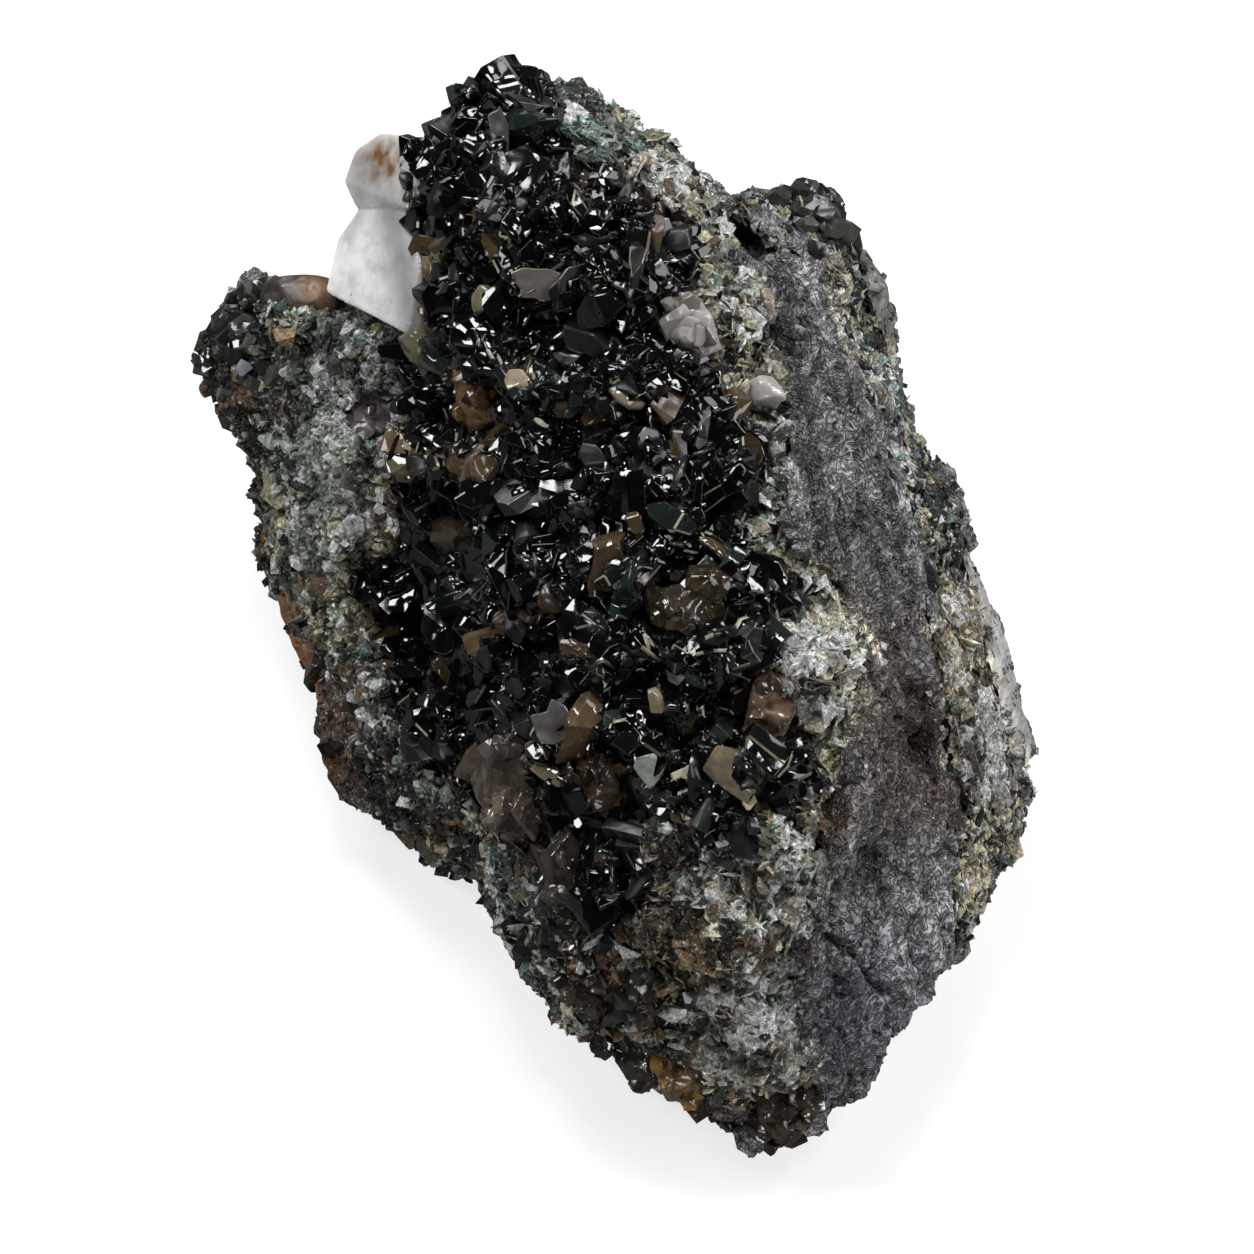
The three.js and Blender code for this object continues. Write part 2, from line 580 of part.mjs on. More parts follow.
function largeBlade(blade, index) {
  const [u, v] = blade.at;
  const looks = new THREE.Vector3(...blade.looks, 1).applyMatrix4(pictureFrame).normalize();
  const at = seenAt(u, v, heightAt(u, v)).addScaledVector(looks, largeBladeRise);
  return placed(bladeFaces(...blade.size, seeded(100 + index)), turnTo(looks, blade.spin), at);
}

// Blades of random size and lean, grown over the druse between the large ones.
const smallBlade = {
  spacing: 4.8,
  reach: 0.96,
  length: [3.4, 5],
  widthShare: 0.75,
  thickness: [0.9, 1.6],
  lean: [-1.3, 1.3],
  rise: 0.25,
};
const largeBladeRoom = 0.55;

function smallBlades() {
  const random = seeded(7);
  const { spacing, reach, lean, rise, widthShare } = smallBlade;
  const taken = largeBlades.map(({ at, size }) => [...at, largeBladeRoom * size[0]]);
  return spread(druseArea.outline, spacing, reach, taken, random).map(([u, v]) => {
    const aside = new THREE.Vector3(...[lean, lean, lean].map((range) => between(range, random)));
    const direction = facing(u, v).add(aside).normalize();
    const length = between(smallBlade.length, random);
    const at = seenAt(u, v, heightAt(u, v) + rise);
    const thickness = between(smallBlade.thickness, random);
    const faces = bladeFaces(length, widthShare * length, thickness, random);
    return placed(faces, turnTo(direction, 2 * Math.PI * random()), at);
  });
}

// Grains that make a crust knobbly, clear of the single crystals.
const grain = { spacing: 5.2, reach: 0.9, half: [1.19, 2.21], widthShare: [0.6, 1.1], sunk: 0.5 };

function grains(area, seed) {
  const random = seeded(seed);
  const { spacing, reach, widthShare, sunk } = grain;
  return spread(area.outline, spacing, reach, roundSingles, random).map(([u, v]) => {
    const half = between(grain.half, random);
    const at = seenAt(u, v, heightAt(u, v)).addScaledVector(facing(u, v), -sunk * half);
    const faces = blockFaces(half, half * between(widthShare, random), half, 1, random);
    return placed(faces, turnTo(facing(u, v), 2 * Math.PI * random()), at);
  });
}

// Siderite crystals, brown and blunt: where they are, half their width, height and depth, and
// how far they stand out.
const sideriteCrystals = {
  siderite_wedge: { at: [-21.2, 20.6], half: [2.7, 1.6, 1.9], rise: 1.6, turn: 0.1 },
  siderite_upper_druse: { at: [-9.3, 14.1], half: [1.5, 1.9, 1.5], rise: 1.3, turn: 0.2 },
  siderite_lower_left: { at: [-7.2, -11.7], half: [2.8, 2.6, 2.3], rise: 1.4, turn: 0.4 },
  siderite_lower_druse: { at: [-2.9, -17.2], half: [1.9, 2.4, 1.9], rise: 1.4, turn: 0.5 },
  siderite_on_crest: { at: [10, -6.2], half: [1.4, 2, 1.6], rise: 1.1, turn: -0.2 },
  siderite_mid_druse: { at: [-1.3, -11], half: [1.2, 1.9, 1.4], rise: 0.9, turn: -0.1 },
  siderite_amber_foot: { at: [3.9, -31.1], half: [1.2, 1.7, 1.3], rise: 0.8, turn: 0 },
  siderite_dark_foot: { at: [1.3, -30.2], half: [1.2, 1.9, 1.4], rise: 0.6, turn: 0.3 },
  siderite_left_lobe: { at: [-16.3, 13.2], half: [1.6, 2.3, 1.6], rise: 0.9, turn: 0.2 },
  siderite_right_druse: { at: [4.7, 0.2], half: [2.4, 1.3, 1.5], rise: 1.2, turn: 0.1 },
  siderite_nose: { at: [-1.7, -25.2], half: [1.7, 1.5, 1.5], rise: 0.7, turn: 0.6 },
  siderite_bottom: { at: [11.2, -33.2], half: [1.8, 1.6, 1.6], rise: 0.3, turn: 0.2 },
};

const bluntCorners = 4;

function bluntCrystal({ at: [u, v], half, rise, turn }, seed) {
  const faces = blockFaces(...half, bluntCorners, seeded(seed));
  const direction = facing(u, v).add(towards).normalize();
  const at = seenAt(u, v, heightAt(u, v)).addScaledVector(direction, rise - half[2]);
  return placed(faces, turnTo(direction, turn), at);
}

// The two quartz crystals grown together on the left, as the corners of each: [u, v, z].
const quartzCorners = [
  [
    [-19.6, 21.3, 30.5], [-18.8, 24.8, 31.5], [-17.3, 26.9, 33], [-14.5, 27.2, 37],
    [-13.2, 23, 37], [-13.2, 18.2, 33.5], [-14.2, 18.4, 34], [-17.5, 22.5, 26],
    [-13, 20, 27], [-13, 26, 30],
  ],
  [
    [-17.6, 30.7, 34.5], [-18.4, 28.7, 33.5], [-17.6, 27, 33], [-16, 31.8, 36],
    [-14.3, 31.6, 38], [-14, 26.8, 38], [-16.5, 29, 29], [-13.3, 30, 31], [-13.5, 26.5, 31],
  ],
];
const quartzGrains = {
  quartz_on_crest: { at: [4.8, 18.7], half: [1.3, 2, 1.3], rise: 0.9, turn: 0.5 },
  quartz_grain: { at: [9.7, 14.6], half: [0.8, 0.8, 0.9], rise: 0.6, turn: 0.3 },
};

// The circle round each single crystal that the grains keep clear of: [u, v, radius].
const singleRoom = 1.1;
const roundSingles = [...Object.values(quartzGrains), ...Object.values(sideriteCrystals)].map(
  ({ at, half }) => [...at, singleRoom * Math.max(half[0], half[1])],
);

// Flat breaks on the sides that the viewer doesn't see: which way each looks, and how deep it
// bites into the lump.
const breaks = [
  { looks: [-0.25, 0.95, -0.2], bite: 2.5 },
  { looks: [0.45, 0.88, -0.2], bite: 3 },
  { looks: [0.05, 0.85, -0.55], bite: 3.5 },
  { looks: [-0.7, 0.65, -0.35], bite: 3 },
  { looks: [0.78, 0.55, -0.3], bite: 3 },
  { looks: [-0.6, 0.5, -0.65], bite: 3 },
  { looks: [0.6, 0.45, -0.65], bite: 3.5 },
  { looks: [-0.85, 0, -0.55], bite: 2 },
  { looks: [0.85, 0, -0.55], bite: 2.5 },
];

// The half of space beyond a break.
function beyondBreak({ looks, bite }, geometry) {
  const direction = new THREE.Vector3(...looks).normalize();
  const place = geometry.attributes.position;
  let reach = -Infinity;
  for (let i = 0; i < place.count; i++)
    reach = Math.max(reach, direction.dot(new THREE.Vector3().fromBufferAttribute(place, i)));
  const block = new THREE.BoxGeometry(farAway, farAway, farAway);
  block.translate(0, 0, farAway / 2 + reach - bite).applyQuaternion(turnTo(direction, 0));
  return solid(block);
}

function everythingBelow(level) {
  const block = new THREE.BoxGeometry(farAway, farAway, farAway);
  return solid(block.translate(0, 0, level - farAway / 2));
}

// Cuts in the grey rock: a crack on the lower right, a pit beside it and a step under the cleft.
const rockCuts = [
  [
    [13.2, -21.4, 30], [13.2, -22, 30], [19.8, -26.4, 25], [19.8, -27.1, 25],
    [14, -21.9, 15.5], [19, -26.6, 11],
  ],
  [
    [19.8, -7.6, 32], [22.2, -9, 30], [21.8, -12.4, 28], [20, -11.6, 28], [20.8, -9.4, 17.5],
    [21.3, -11.2, 15.5],
  ],
  [
    [10.4, 21.3, 40], [13, 17.6, 40], [10.6, 17.2, 40], [9.6, 19.6, 40], [10.8, 18.8, 32.8],
    [11.6, 18.2, 32.2],
  ],
];

// A named mesh from a solid, with a plain finish.
function meshOf(name, made, finish) {
  const raw = largest(made).getMesh();
  const geometry = new THREE.BufferGeometry();
  geometry.setAttribute("position", new THREE.BufferAttribute(raw.vertProperties, 3));
  geometry.setIndex(new THREE.BufferAttribute(raw.triVerts, 1));
  geometry.computeVertexNormals();
  const mesh = new THREE.Mesh(geometry, new THREE.MeshStandardMaterial(finish));
  mesh.name = name;
  return mesh;
}

const finishes = {
  ironstone: { color: 0x4a4a4d, roughness: 0.85, metalness: 0 },
  kulanite: { color: 0x0b0d0c, roughness: 0.12, metalness: 0 },
  greenCrust: { color: 0x5d6a5c, roughness: 0.6, metalness: 0 },
  siderite: { color: 0x4d3a29, roughness: 0.3, metalness: 0 },
  quartz: { color: 0xd9dadc, roughness: 0.2, metalness: 0 },
};

// The stone with its breaks and its flat foot.
const bodyLump = lump(bodySteps);
const brokenOff = [
  everythingBelow(baseLevel),
  ...breaks.map((each) => beyondBreak(each, bodyLump)),
];

function stone(geometry) {
  return without(solid(roughened(geometry)), brokenOff);
}

const body = stone(bodyLump);
const crustBody = stone(lump(crustSteps));
const coreLump = lump(coreSteps);
const core = solid(moved(coreLump, () => -crustDepth));
const coreGrown = solid(moved(coreLump, () => gap - crustDepth)).add(core);

// Single crystals keep their full shape, and everything else is cut clear of them by the gap. A
// crust fills its column from the core to the surface, and its crystals stand out above that.
const group = new THREE.Group();
const singles = [];
const crusts = [];

function addSingle(name, crystals, finish) {
  const made = joined(crystals.map((faces) => crystalSolid(faces, 0)));
  group.add(meshOf(name, without(made, singles), finish));
  singles.push(joined(crystals.map((faces) => crystalSolid(faces, gap))));
}

function addCrust(name, area, crystals, finish) {
  const standing = joined(crystals.map((faces) => crystalSolid(faces, 0)));
  const made = crustBody.add(standing).intersect(column(area, 0));
  const foot = everythingBelow(baseLevel + crustLift);
  group.add(meshOf(name, without(made, [foot, coreGrown, ...crusts, ...singles]), finish));
  crusts.push(column(area, gap));
}

addSingle("quartz_crystals", quartzCorners.map(facesAround), finishes.quartz);
Object.entries(quartzGrains).forEach(([name, crystal], i) =>
  addSingle(name, [bluntCrystal(crystal, 100 + i)], finishes.quartz),
);
Object.entries(sideriteCrystals).forEach(([name, crystal], i) =>
  addSingle(name, [bluntCrystal(crystal, 40 + i)], finishes.siderite),
);
const blades = [...largeBlades.map(largeBlade), ...smallBlades()];
addCrust("kulanite_druse", druseArea, blades, finishes.kulanite);
addCrust("crest_crust", crestArea, grains(crestArea, 11), finishes.greenCrust);
addCrust("left_crust", leftArea, grains(leftArea, 12), finishes.greenCrust);
addCrust("right_crust", rightArea, grains(rightArea, 13), finishes.greenCrust);

const cuts = rockCuts.map((corners) => crystalSolid(facesAround(corners), 0));
const underCrusts = joined(crusts).subtract(core);
const rock = without(body, [underCrusts, ...singles, ...cuts]);
group.add(meshOf("ironstone", rock, finishes.ironstone));

// The specimen's box is centred on the origin, and its foot is on the table.
const box = new THREE.Box3().setFromObject(group);
const centre = box.getCenter(new THREE.Vector3());
group.position.set(-centre.x, -centre.y, -box.min.z);

export default group;
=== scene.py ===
# %% [markdown]
# # A kulanite specimen
# This notebook finishes a hand-sized mineral specimen. The real thing is a broken lump of grey
# ironstone. A hollow in it is lined with a druse, a crowd of glossy black kulanite blades, and
# round the hollow run pale green crusts made of very small crystals. Brown siderite and white
# quartz sit on top. The lump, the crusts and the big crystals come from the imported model. The
# broken surfaces and the thousands of small crystals are made here.

import math

import bmesh
import bpy
import numpy as np
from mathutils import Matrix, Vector, kdtree, noise
from mathutils.bvhtree import BVHTree


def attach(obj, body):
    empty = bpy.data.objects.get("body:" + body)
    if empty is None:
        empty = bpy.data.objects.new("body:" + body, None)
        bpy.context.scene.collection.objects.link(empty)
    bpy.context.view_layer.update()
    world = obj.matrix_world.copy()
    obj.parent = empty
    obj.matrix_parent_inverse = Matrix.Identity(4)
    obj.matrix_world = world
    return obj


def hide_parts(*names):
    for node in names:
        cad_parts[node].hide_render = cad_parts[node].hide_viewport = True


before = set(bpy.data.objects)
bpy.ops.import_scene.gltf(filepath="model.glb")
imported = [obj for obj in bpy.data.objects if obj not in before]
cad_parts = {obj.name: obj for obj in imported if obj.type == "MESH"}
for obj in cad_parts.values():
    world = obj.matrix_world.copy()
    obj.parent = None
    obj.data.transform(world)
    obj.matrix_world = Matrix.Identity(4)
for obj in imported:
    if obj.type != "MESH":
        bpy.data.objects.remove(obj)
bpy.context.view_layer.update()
MM = 0.001
print("the frame holds", len(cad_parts), "nodes")

# %% [markdown]
# ## The picture plane
# The specimen is seen from 60 degrees above the table. Places on the visible side are easiest to
# give as they are seen, so a place is written in pixels of a picture of 1254 pixels that shows 15
# of them to the millimetre. Two small functions turn pixels into millimetres right and up in the
# picture plane, and points of the specimen into the same plane. Anything placed this way still
# sits on the surface, because it is only used to choose among points of that surface.

# %% Pixels and the picture plane
VIEW_ELEVATION = math.radians(60)
PIXELS_PER_MM = 15
PLANE_ORIGIN_PX = (620, 610)
PLANE_SHIFT_MM = (0.134, 9.711)
to_viewer = Vector((0, -math.cos(VIEW_ELEVATION), math.sin(VIEW_ELEVATION)))
picture_up = Vector((0, math.sin(VIEW_ELEVATION), math.cos(VIEW_ELEVATION)))
viewer_axis = np.array(to_viewer)


def from_pixels(x, y):
    """The place in the picture plane, in millimetres, of a pixel."""
    return (x - PLANE_ORIGIN_PX[0]) / PIXELS_PER_MM, (PLANE_ORIGIN_PX[1] - y) / PIXELS_PER_MM


def in_plane(points):
    """Where points of the specimen, in millimetres, are seen in the picture plane."""
    right = points[:, 0] - PLANE_SHIFT_MM[0]
    up = points[:, 1] * picture_up.y + points[:, 2] * picture_up.z - PLANE_SHIFT_MM[1]
    return right, up


def inside(plane, pixels):
    """True for points that are seen inside a closed line through pixels of the picture plane."""
    crossings = np.zeros(len(plane[0]), int)
    corners = [from_pixels(*pixel) for pixel in pixels]
    for (x0, y0), (x1, y1) in zip(corners, corners[1:] + corners[:1]):
        between = (y0 > plane[1]) != (y1 > plane[1])
        rise = y1 - y0 if y1 != y0 else 1
        crossings += between & (plane[0] < x0 + (plane[1] - y0) * (x1 - x0) / rise)
    return crossings % 2 == 1


print("the middle pixel is at", from_pixels(627, 627), "mm")

# %% [markdown]
# ## Camera, floor and light
# A long lens from far away keeps the proportions of the picture plane. The floor is a wide pale
# sheet. The light is a big soft room with a darker part behind the camera, and it is dimmer in
# mirrors than in the open, so that black crystals stay black. Bright softboxes all round flash in
# the facets that happen to face them. One big lamp would be simpler, but it would leave most
# facets without any glint.

# %% Camera
CAMERA_DISTANCE = 1.5
FRAME_WIDTH = 83.6 * MM
SENSOR_WIDTH = 36
MIDDLE_DEPTH_MM = 20

scene = bpy.context.scene
middle_right, middle_up = from_pixels(627, 627)
aim = (
    Vector((middle_right + PLANE_SHIFT_MM[0], 0, 0))
    + picture_up * (middle_up + PLANE_SHIFT_MM[1])
    + to_viewer * MIDDLE_DEPTH_MM
) * MM
camera = bpy.data.objects.new("camera", bpy.data.cameras.new("camera"))
camera.data.sensor_width = SENSOR_WIDTH
camera.data.lens = SENSOR_WIDTH * CAMERA_DISTANCE / FRAME_WIDTH
camera.data.clip_end = 20
camera.location = aim + to_viewer * CAMERA_DISTANCE
camera.rotation_mode = "QUATERNION"
camera.rotation_quaternion = (-to_viewer).to_track_quat("-Z", "Y")
scene.collection.objects.link(camera)
scene.camera = camera
scene.view_settings.view_transform = "Standard"
print("the lens is", round(camera.data.lens), "mm long")


# %% Helpers: colours and nodes
def colour(red, green, blue):
    """A colour picked as it looks on a screen, from 0 to 255, as the light that it stands for."""
    parts = [c / 255 for c in (red, green, blue)]
    return [c / 12.92 if c < 0.04045 else ((c + 0.055) / 1.055) ** 2.4 for c in parts]


def colours(**tones):
    """A palette: the name of each colour and the light that it stands for."""
    return {name: colour(*tone) for name, tone in tones.items()}


def plain_material(name):
    """A new material with its node tree and its shader."""
    material = bpy.data.materials.new(name)
    material.use_nodes = True
    return material, material.node_tree, material.node_tree.nodes["Principled BSDF"]


def fill(node, values):
    """Sets unlinked inputs of a node, given as {socket: value}."""
    for socket, value in values.items():
        node.inputs[socket].default_value = value


def add_node(tree, kind, values=None, **settings):
    """A new node with its settings made and its unlinked inputs filled."""
    node = tree.nodes.new(kind)
    for setting, value in settings.items():
        setattr(node, setting, value)
    fill(node, values or {})
    return node


def wire(tree, *links):
    """Links nodes, each link given as (node, output, node, input)."""
    for giver, output, taker, socket in links:
        tree.links.new(giver.outputs[output], taker.inputs[socket])


print("middle grey on a screen is", round(colour(128, 128, 128)[0], 3), "of white light")

# %% Floor
FLOOR_REACH = 4
FLOOR_PAPER = {"A": (0.38, 0.38, 0.38, 1), "B": (0.08, 0.08, 0.08, 1)}
FLOOR_GLOW = {"A": 0.36, "B": 0.72}
FLOOR_GLOW_MIRRORED = {"B": 0.06}
floor_shape = bmesh.new()
bmesh.ops.create_grid(floor_shape, x_segments=1, y_segments=1, size=FLOOR_REACH)
floor_mesh = bpy.data.meshes.new("floor")
floor_shape.to_mesh(floor_mesh)
floor_shape.free()
floor = bpy.data.objects.new("floor", floor_mesh)
scene.collection.objects.link(floor)
floor_paint, floor_tree, floor_shader = plain_material("floor_paper")
fill(floor_shader, {"Roughness": 0.9, "Specular IOR Level": 0.0, "Emission Color": (1, 1, 1, 1)})
floor_ray = add_node(floor_tree, "ShaderNodeLightPath")
floor_glow = add_node(floor_tree, "ShaderNodeMix", FLOOR_GLOW)
floor_dim = add_node(floor_tree, "ShaderNodeMix", FLOOR_GLOW_MIRRORED)
floor_tone = add_node(floor_tree, "ShaderNodeMix", FLOOR_PAPER, data_type="RGBA")
wire(
    floor_tree,
    (floor_ray, "Is Camera Ray", floor_glow, "Factor"),
    (floor_glow, "Result", floor_dim, "A"),
    (floor_ray, "Is Glossy Ray", floor_dim, "Factor"),
    (floor_dim, "Result", floor_shader, "Emission Strength"),
    (floor_ray, "Is Glossy Ray", floor_tone, "Factor"),
    (floor_tone, "Result", floor_shader, "Base Color"),
)
floor_mesh.materials.append(floor_paint)
print("the floor is", 2 * FLOOR_REACH, "m wide")

# %% Light
ROOM_LIGHT = {"From Min": 0.30, "From Max": 0.62, "To Min": 0.30, "To Max": 0.04}
ROOM_IN_MIRRORS = {"A": 1.0, "B": 0.45}
softboxes = {
    "window": ((-0.30, 0.55, 0.60), 0.34, 2.4),
    "above": ((-0.08, 0.20, 0.72), 0.18, 2.0),
    "left": ((-0.46, 0.10, 0.55), 0.18, 1.6),
    "right": ((0.42, 0.16, 0.58), 0.18, 1.6),
    "behind": ((0.16, 0.60, 0.42), 0.18, 1.3),
    "front": ((-0.16, -0.66, 0.36), 0.14, 0.9),
    "wide": ((0.62, -0.12, 0.40), 0.44, 2.4),
}
world = bpy.data.worlds.new("soft_room")
world.use_nodes = True
scene.world = world
room = world.node_tree
direction = add_node(room, "ShaderNodeTexCoord")
towards_camera = add_node(room, "ShaderNodeVectorMath", {1: to_viewer}, operation="DOT_PRODUCT")
shade = add_node(room, "ShaderNodeMapRange", ROOM_LIGHT, interpolation_type="SMOOTHSTEP")
ray = add_node(room, "ShaderNodeLightPath")
mirrored = add_node(room, "ShaderNodeMix", ROOM_IN_MIRRORS)
dimmed = add_node(room, "ShaderNodeMath", operation="MULTIPLY")
strength = add_node(room, "ShaderNodeMix", {"B": 1.0})
wire(
    room,
    (direction, "Generated", towards_camera, 0),
    (towards_camera, "Value", shade, "Value"),
    (ray, "Is Glossy Ray", mirrored, "Factor"),
    (shade, "Result", dimmed, 0),
    (mirrored, "Result", dimmed, 1),
    (ray, "Is Camera Ray", strength, "Factor"),
    (dimmed, "Value", strength, "A"),
    (strength, "Result", room.nodes["Background"], "Strength"),
)
for name, (place, width, power) in softboxes.items():
    name = "softbox_" + name
    lamp = bpy.data.objects.new(name, bpy.data.lights.new(name, "AREA"))
    lamp.data.size = width
    lamp.data.energy = power
    lamp.location = place
    lamp.rotation_mode = "QUATERNION"
    lamp.rotation_quaternion = (aim - Vector(place)).to_track_quat("-Z", "Y")
    scene.collection.objects.link(lamp)
print(len(softboxes), "softboxes are hung")

# %% [markdown]
# ## Shader groups that several finishes share
# Three effects come back in the finishes of a mineral: the fine salt-and-pepper grain of a broken
# rock with its hair-fine folds, specks of another colour in patches, and the gentle waves of a
# grown crystal face. Each is a node group with named inputs, so that a finish only sets its own
# values. They read Object coordinates, so the pattern has its real size on every piece.

# %% Group: fine grain
def new_group(name, inputs, outputs):
    """An empty node group with number inputs {name: start value} and named number outputs."""
    group = bpy.data.node_groups.new(name, "ShaderNodeTree")
    for socket, value in inputs.items():
        made = group.interface.new_socket(socket, in_out="INPUT", socket_type="NodeSocketFloat")
        made.default_value = value
    for socket in outputs:
        group.interface.new_socket(socket, in_out="OUTPUT", socket_type="NodeSocketFloat")
    return group, group.nodes.new("NodeGroupInput"), group.nodes.new("NodeGroupOutput")


FOLD_WIDTH = {"From Min": 0.0, "From Max": 0.12, "To Min": 1.0, "To Max": 0.0}
grain_group, grain_in, grain_out = new_group(
    "fine_grain", {"Scale": 1500.0, "Stretch": 1.0}, ("Grain", "Groove", "Height")
)
grain_place = add_node(grain_group, "ShaderNodeTexCoord")
grain_lean = add_node(grain_group, "ShaderNodeMapping", {"Rotation": (0.45, 0.1, 0.2)})
grain_size = add_node(grain_group, "ShaderNodeCombineXYZ", {"X": 1.0, "Z": 1.0})
grain_pull = add_node(grain_group, "ShaderNodeVectorMath", operation="MULTIPLY")
grain_noise = add_node(grain_group, "ShaderNodeTexNoise", {"Detail": 4.0, "Roughness": 0.65})
fold_noise = add_node(grain_group, "ShaderNodeTexNoise", {"Detail": 1.0, "Distortion": 1.6})
fold_middle = add_node(grain_group, "ShaderNodeMath", {1: 0.5}, operation="SUBTRACT")
fold_size = add_node(grain_group, "ShaderNodeMath", operation="ABSOLUTE")
fold = add_node(grain_group, "ShaderNodeMapRange", FOLD_WIDTH)
grain_sum = add_node(grain_group, "ShaderNodeMath", operation="SUBTRACT")
wire(
    grain_group,
    (grain_place, "Object", grain_lean, "Vector"),
    (grain_in, "Stretch", grain_size, "Y"),
    (grain_lean, "Vector", grain_pull, 0),
    (grain_size, "Vector", grain_pull, 1),
    (grain_pull, "Vector", grain_noise, "Vector"),
    (grain_pull, "Vector", fold_noise, "Vector"),
    (grain_in, "Scale", grain_noise, "Scale"),
    (grain_in, "Scale", fold_noise, "Scale"),
    (fold_noise, "Fac", fold_middle, 0),
    (fold_middle, "Value", fold_size, 0),
    (fold_size, "Value", fold, "Value"),
    (grain_noise, "Fac", grain_sum, 0),
    (fold, "Result", grain_sum, 1),
    (grain_noise, "Fac", grain_out, "Grain"),
    (fold, "Result", grain_out, "Groove"),
    (grain_sum, "Value", grain_out, "Height"),
)
print("built the group", grain_group.name)

# %% Group: patches
PATCH_START = {"Scale": 200.0, "Start": 0.5, "End": 0.65}
patch_group, patch_in, patch_out = new_group("patches", PATCH_START, ("Mask",))
patch_place = add_node(patch_group, "ShaderNodeTexCoord")
patch_noise = add_node(patch_group, "ShaderNodeTexNoise", {"Detail": 6.0, "Roughness": 0.6})
patch_edge = add_node(patch_group, "ShaderNodeMapRange", interpolation_type="SMOOTHSTEP")
wire(
    patch_group,
    (patch_place, "Object", patch_noise, "Vector"),
    (patch_in, "Scale", patch_noise, "Scale"),
    (patch_noise, "Fac", patch_edge, "Value"),
    (patch_in, "Start", patch_edge, "From Min"),
    (patch_in, "End", patch_edge, "From Max"),
    (patch_edge, "Result", patch_out, "Mask"),
)
print("built the group", patch_group.name)

# %% Group: waves of a crystal face
wave_group, wave_in, wave_out = new_group("face_waves", {"Scale": 500.0}, ("Height",))
wave_place = add_node(wave_group, "ShaderNodeTexCoord")
wave_noise = add_node(wave_group, "ShaderNodeTexNoise", {"Detail": 1.0, "Distortion": 0.4})
wire(
    wave_group,
    (wave_place, "Object", wave_noise, "Vector"),
    (wave_in, "Scale", wave_noise, "Scale"),
    (wave_noise, "Fac", wave_out, "Height"),
)
print("built the group", wave_group.name)

# %% [markdown]
# ## The finishes
# Every crystal and every point of the rock carries its own colour in an attribute called tint,
# with how rough it is in the fourth number. That way neighbours differ as they do in nature, and
# one finish serves thousands of crystals. The shader adds what is too fine for the mesh.

# %% Helper: a finish that starts from the tint
GRAIN_MIDDLE = {"From Min": 0.38, "From Max": 0.62}


def tinted_finish(
    name, grain, grain_share, bump, ior, stretch=1.0, flecks=(), painted_groove_shade=0.0, deep=0.1, waves=None
):
    """A finish whose colour and roughness come from the tint, broken up by the fine grain.
    Each fleck is (scale, start, end, colour): small patches of another colour. The groove value
    is how much painted shade darkens the fine folds, which the bump sinks. Waves is (scale,
    depth in millimetres) of a gentle bend."""
    material, tree, shader = plain_material(name)
    fill(shader, {"IOR": ior})
    share = {"To Min": 1 - grain_share, "To Max": 1 + grain_share}
    tint = add_node(tree, "ShaderNodeAttribute", attribute_name="tint")
    texture = add_node(
        tree, "ShaderNodeGroup", {"Scale": grain, "Stretch": stretch}, node_tree=grain_group
    )
    lighten = add_node(tree, "ShaderNodeMapRange", GRAIN_MIDDLE | share)
    # Painted shade: the colour is darker in the fine folds, which the bump sinks.
    shaded_folds = add_node(tree, "ShaderNodeMapRange", {"To Min": 1.0, "To Max": 1 - painted_groove_shade})
    both = add_node(tree, "ShaderNodeMath", operation="MULTIPLY")
    mixed = add_node(tree, "ShaderNodeVectorMath", operation="SCALE")
    relief = add_node(tree, "ShaderNodeBump", {"Strength": bump, "Distance": deep * MM})
    wire(
        tree,
        (texture, "Grain", lighten, "Value"),
        (texture, "Groove", shaded_folds, "Value"),
        (lighten, "Result", both, 0),
        (shaded_folds, "Result", both, 1),
        (tint, "Color", mixed, 0),
        (both, "Value", mixed, "Scale"),
        (tint, "Alpha", shader, "Roughness"),
        (texture, "Height", relief, "Height"),
        (relief, "Normal", shader, "Normal"),
    )
    shown = (mixed, "Vector")
    for scale, start, end, fleck in flecks:
        patch = {"Scale": scale, "Start": start, "End": end}
        mask = add_node(tree, "ShaderNodeGroup", patch, node_tree=patch_group)
        over = add_node(tree, "ShaderNodeMix", {}, data_type="RGBA")
        fill(over, {"B": (*fleck, 1)})
        wire(tree, (mask, "Mask", over, "Factor"), (*shown, over, "A"))
        shown = (over, "Result")
    wire(tree, (*shown, shader, "Base Color"))
    if waves:
        scale, depth = waves
        bend = add_node(tree, "ShaderNodeGroup", {"Scale": scale}, node_tree=wave_group)
        bent = add_node(tree, "ShaderNodeBump", {"Strength": 1.0, "Distance": depth * MM})
        wire(tree, (bend, "Height", bent, "Height"), (bent, "Normal", relief, "Normal"))
    return material


# %% Finishes of the rock, the crusts and the druse
stone_flecks = [(2600.0, 0.62, 0.66, colour(34, 33, 33)), (3600.0, 0.635, 0.665, colour(186, 184, 180))]
crust_flecks = [(3000.0, 0.63, 0.67, colour(30, 33, 30)), (3800.0, 0.62, 0.65, colour(206, 206, 194))]
ironstone_finish = tinted_finish(
    "ironstone_stone", 1600.0, 0.65, 0.9, 1.6, stretch=0.6, flecks=stone_flecks, painted_groove_shade=0.8, deep=0.20
)
crust_finish = tinted_finish(
    "green_crust_grains", 3000.0, 0.5, 0.8, 1.6, flecks=crust_flecks, painted_groove_shade=0.3
)
worn_finish = tinted_finish(
    "worn_stone", 900.0, 0.28, 0.25, 1.55, stretch=0.25, painted_groove_shade=0.22, deep=0.06
)
kulanite_finish = tinted_finish(
    "kulanite_black_glass", 1200.0, 0.2, 0.02, 1.62, waves=(420.0, 0.6)
)
print("four finishes take their colour from the tint")

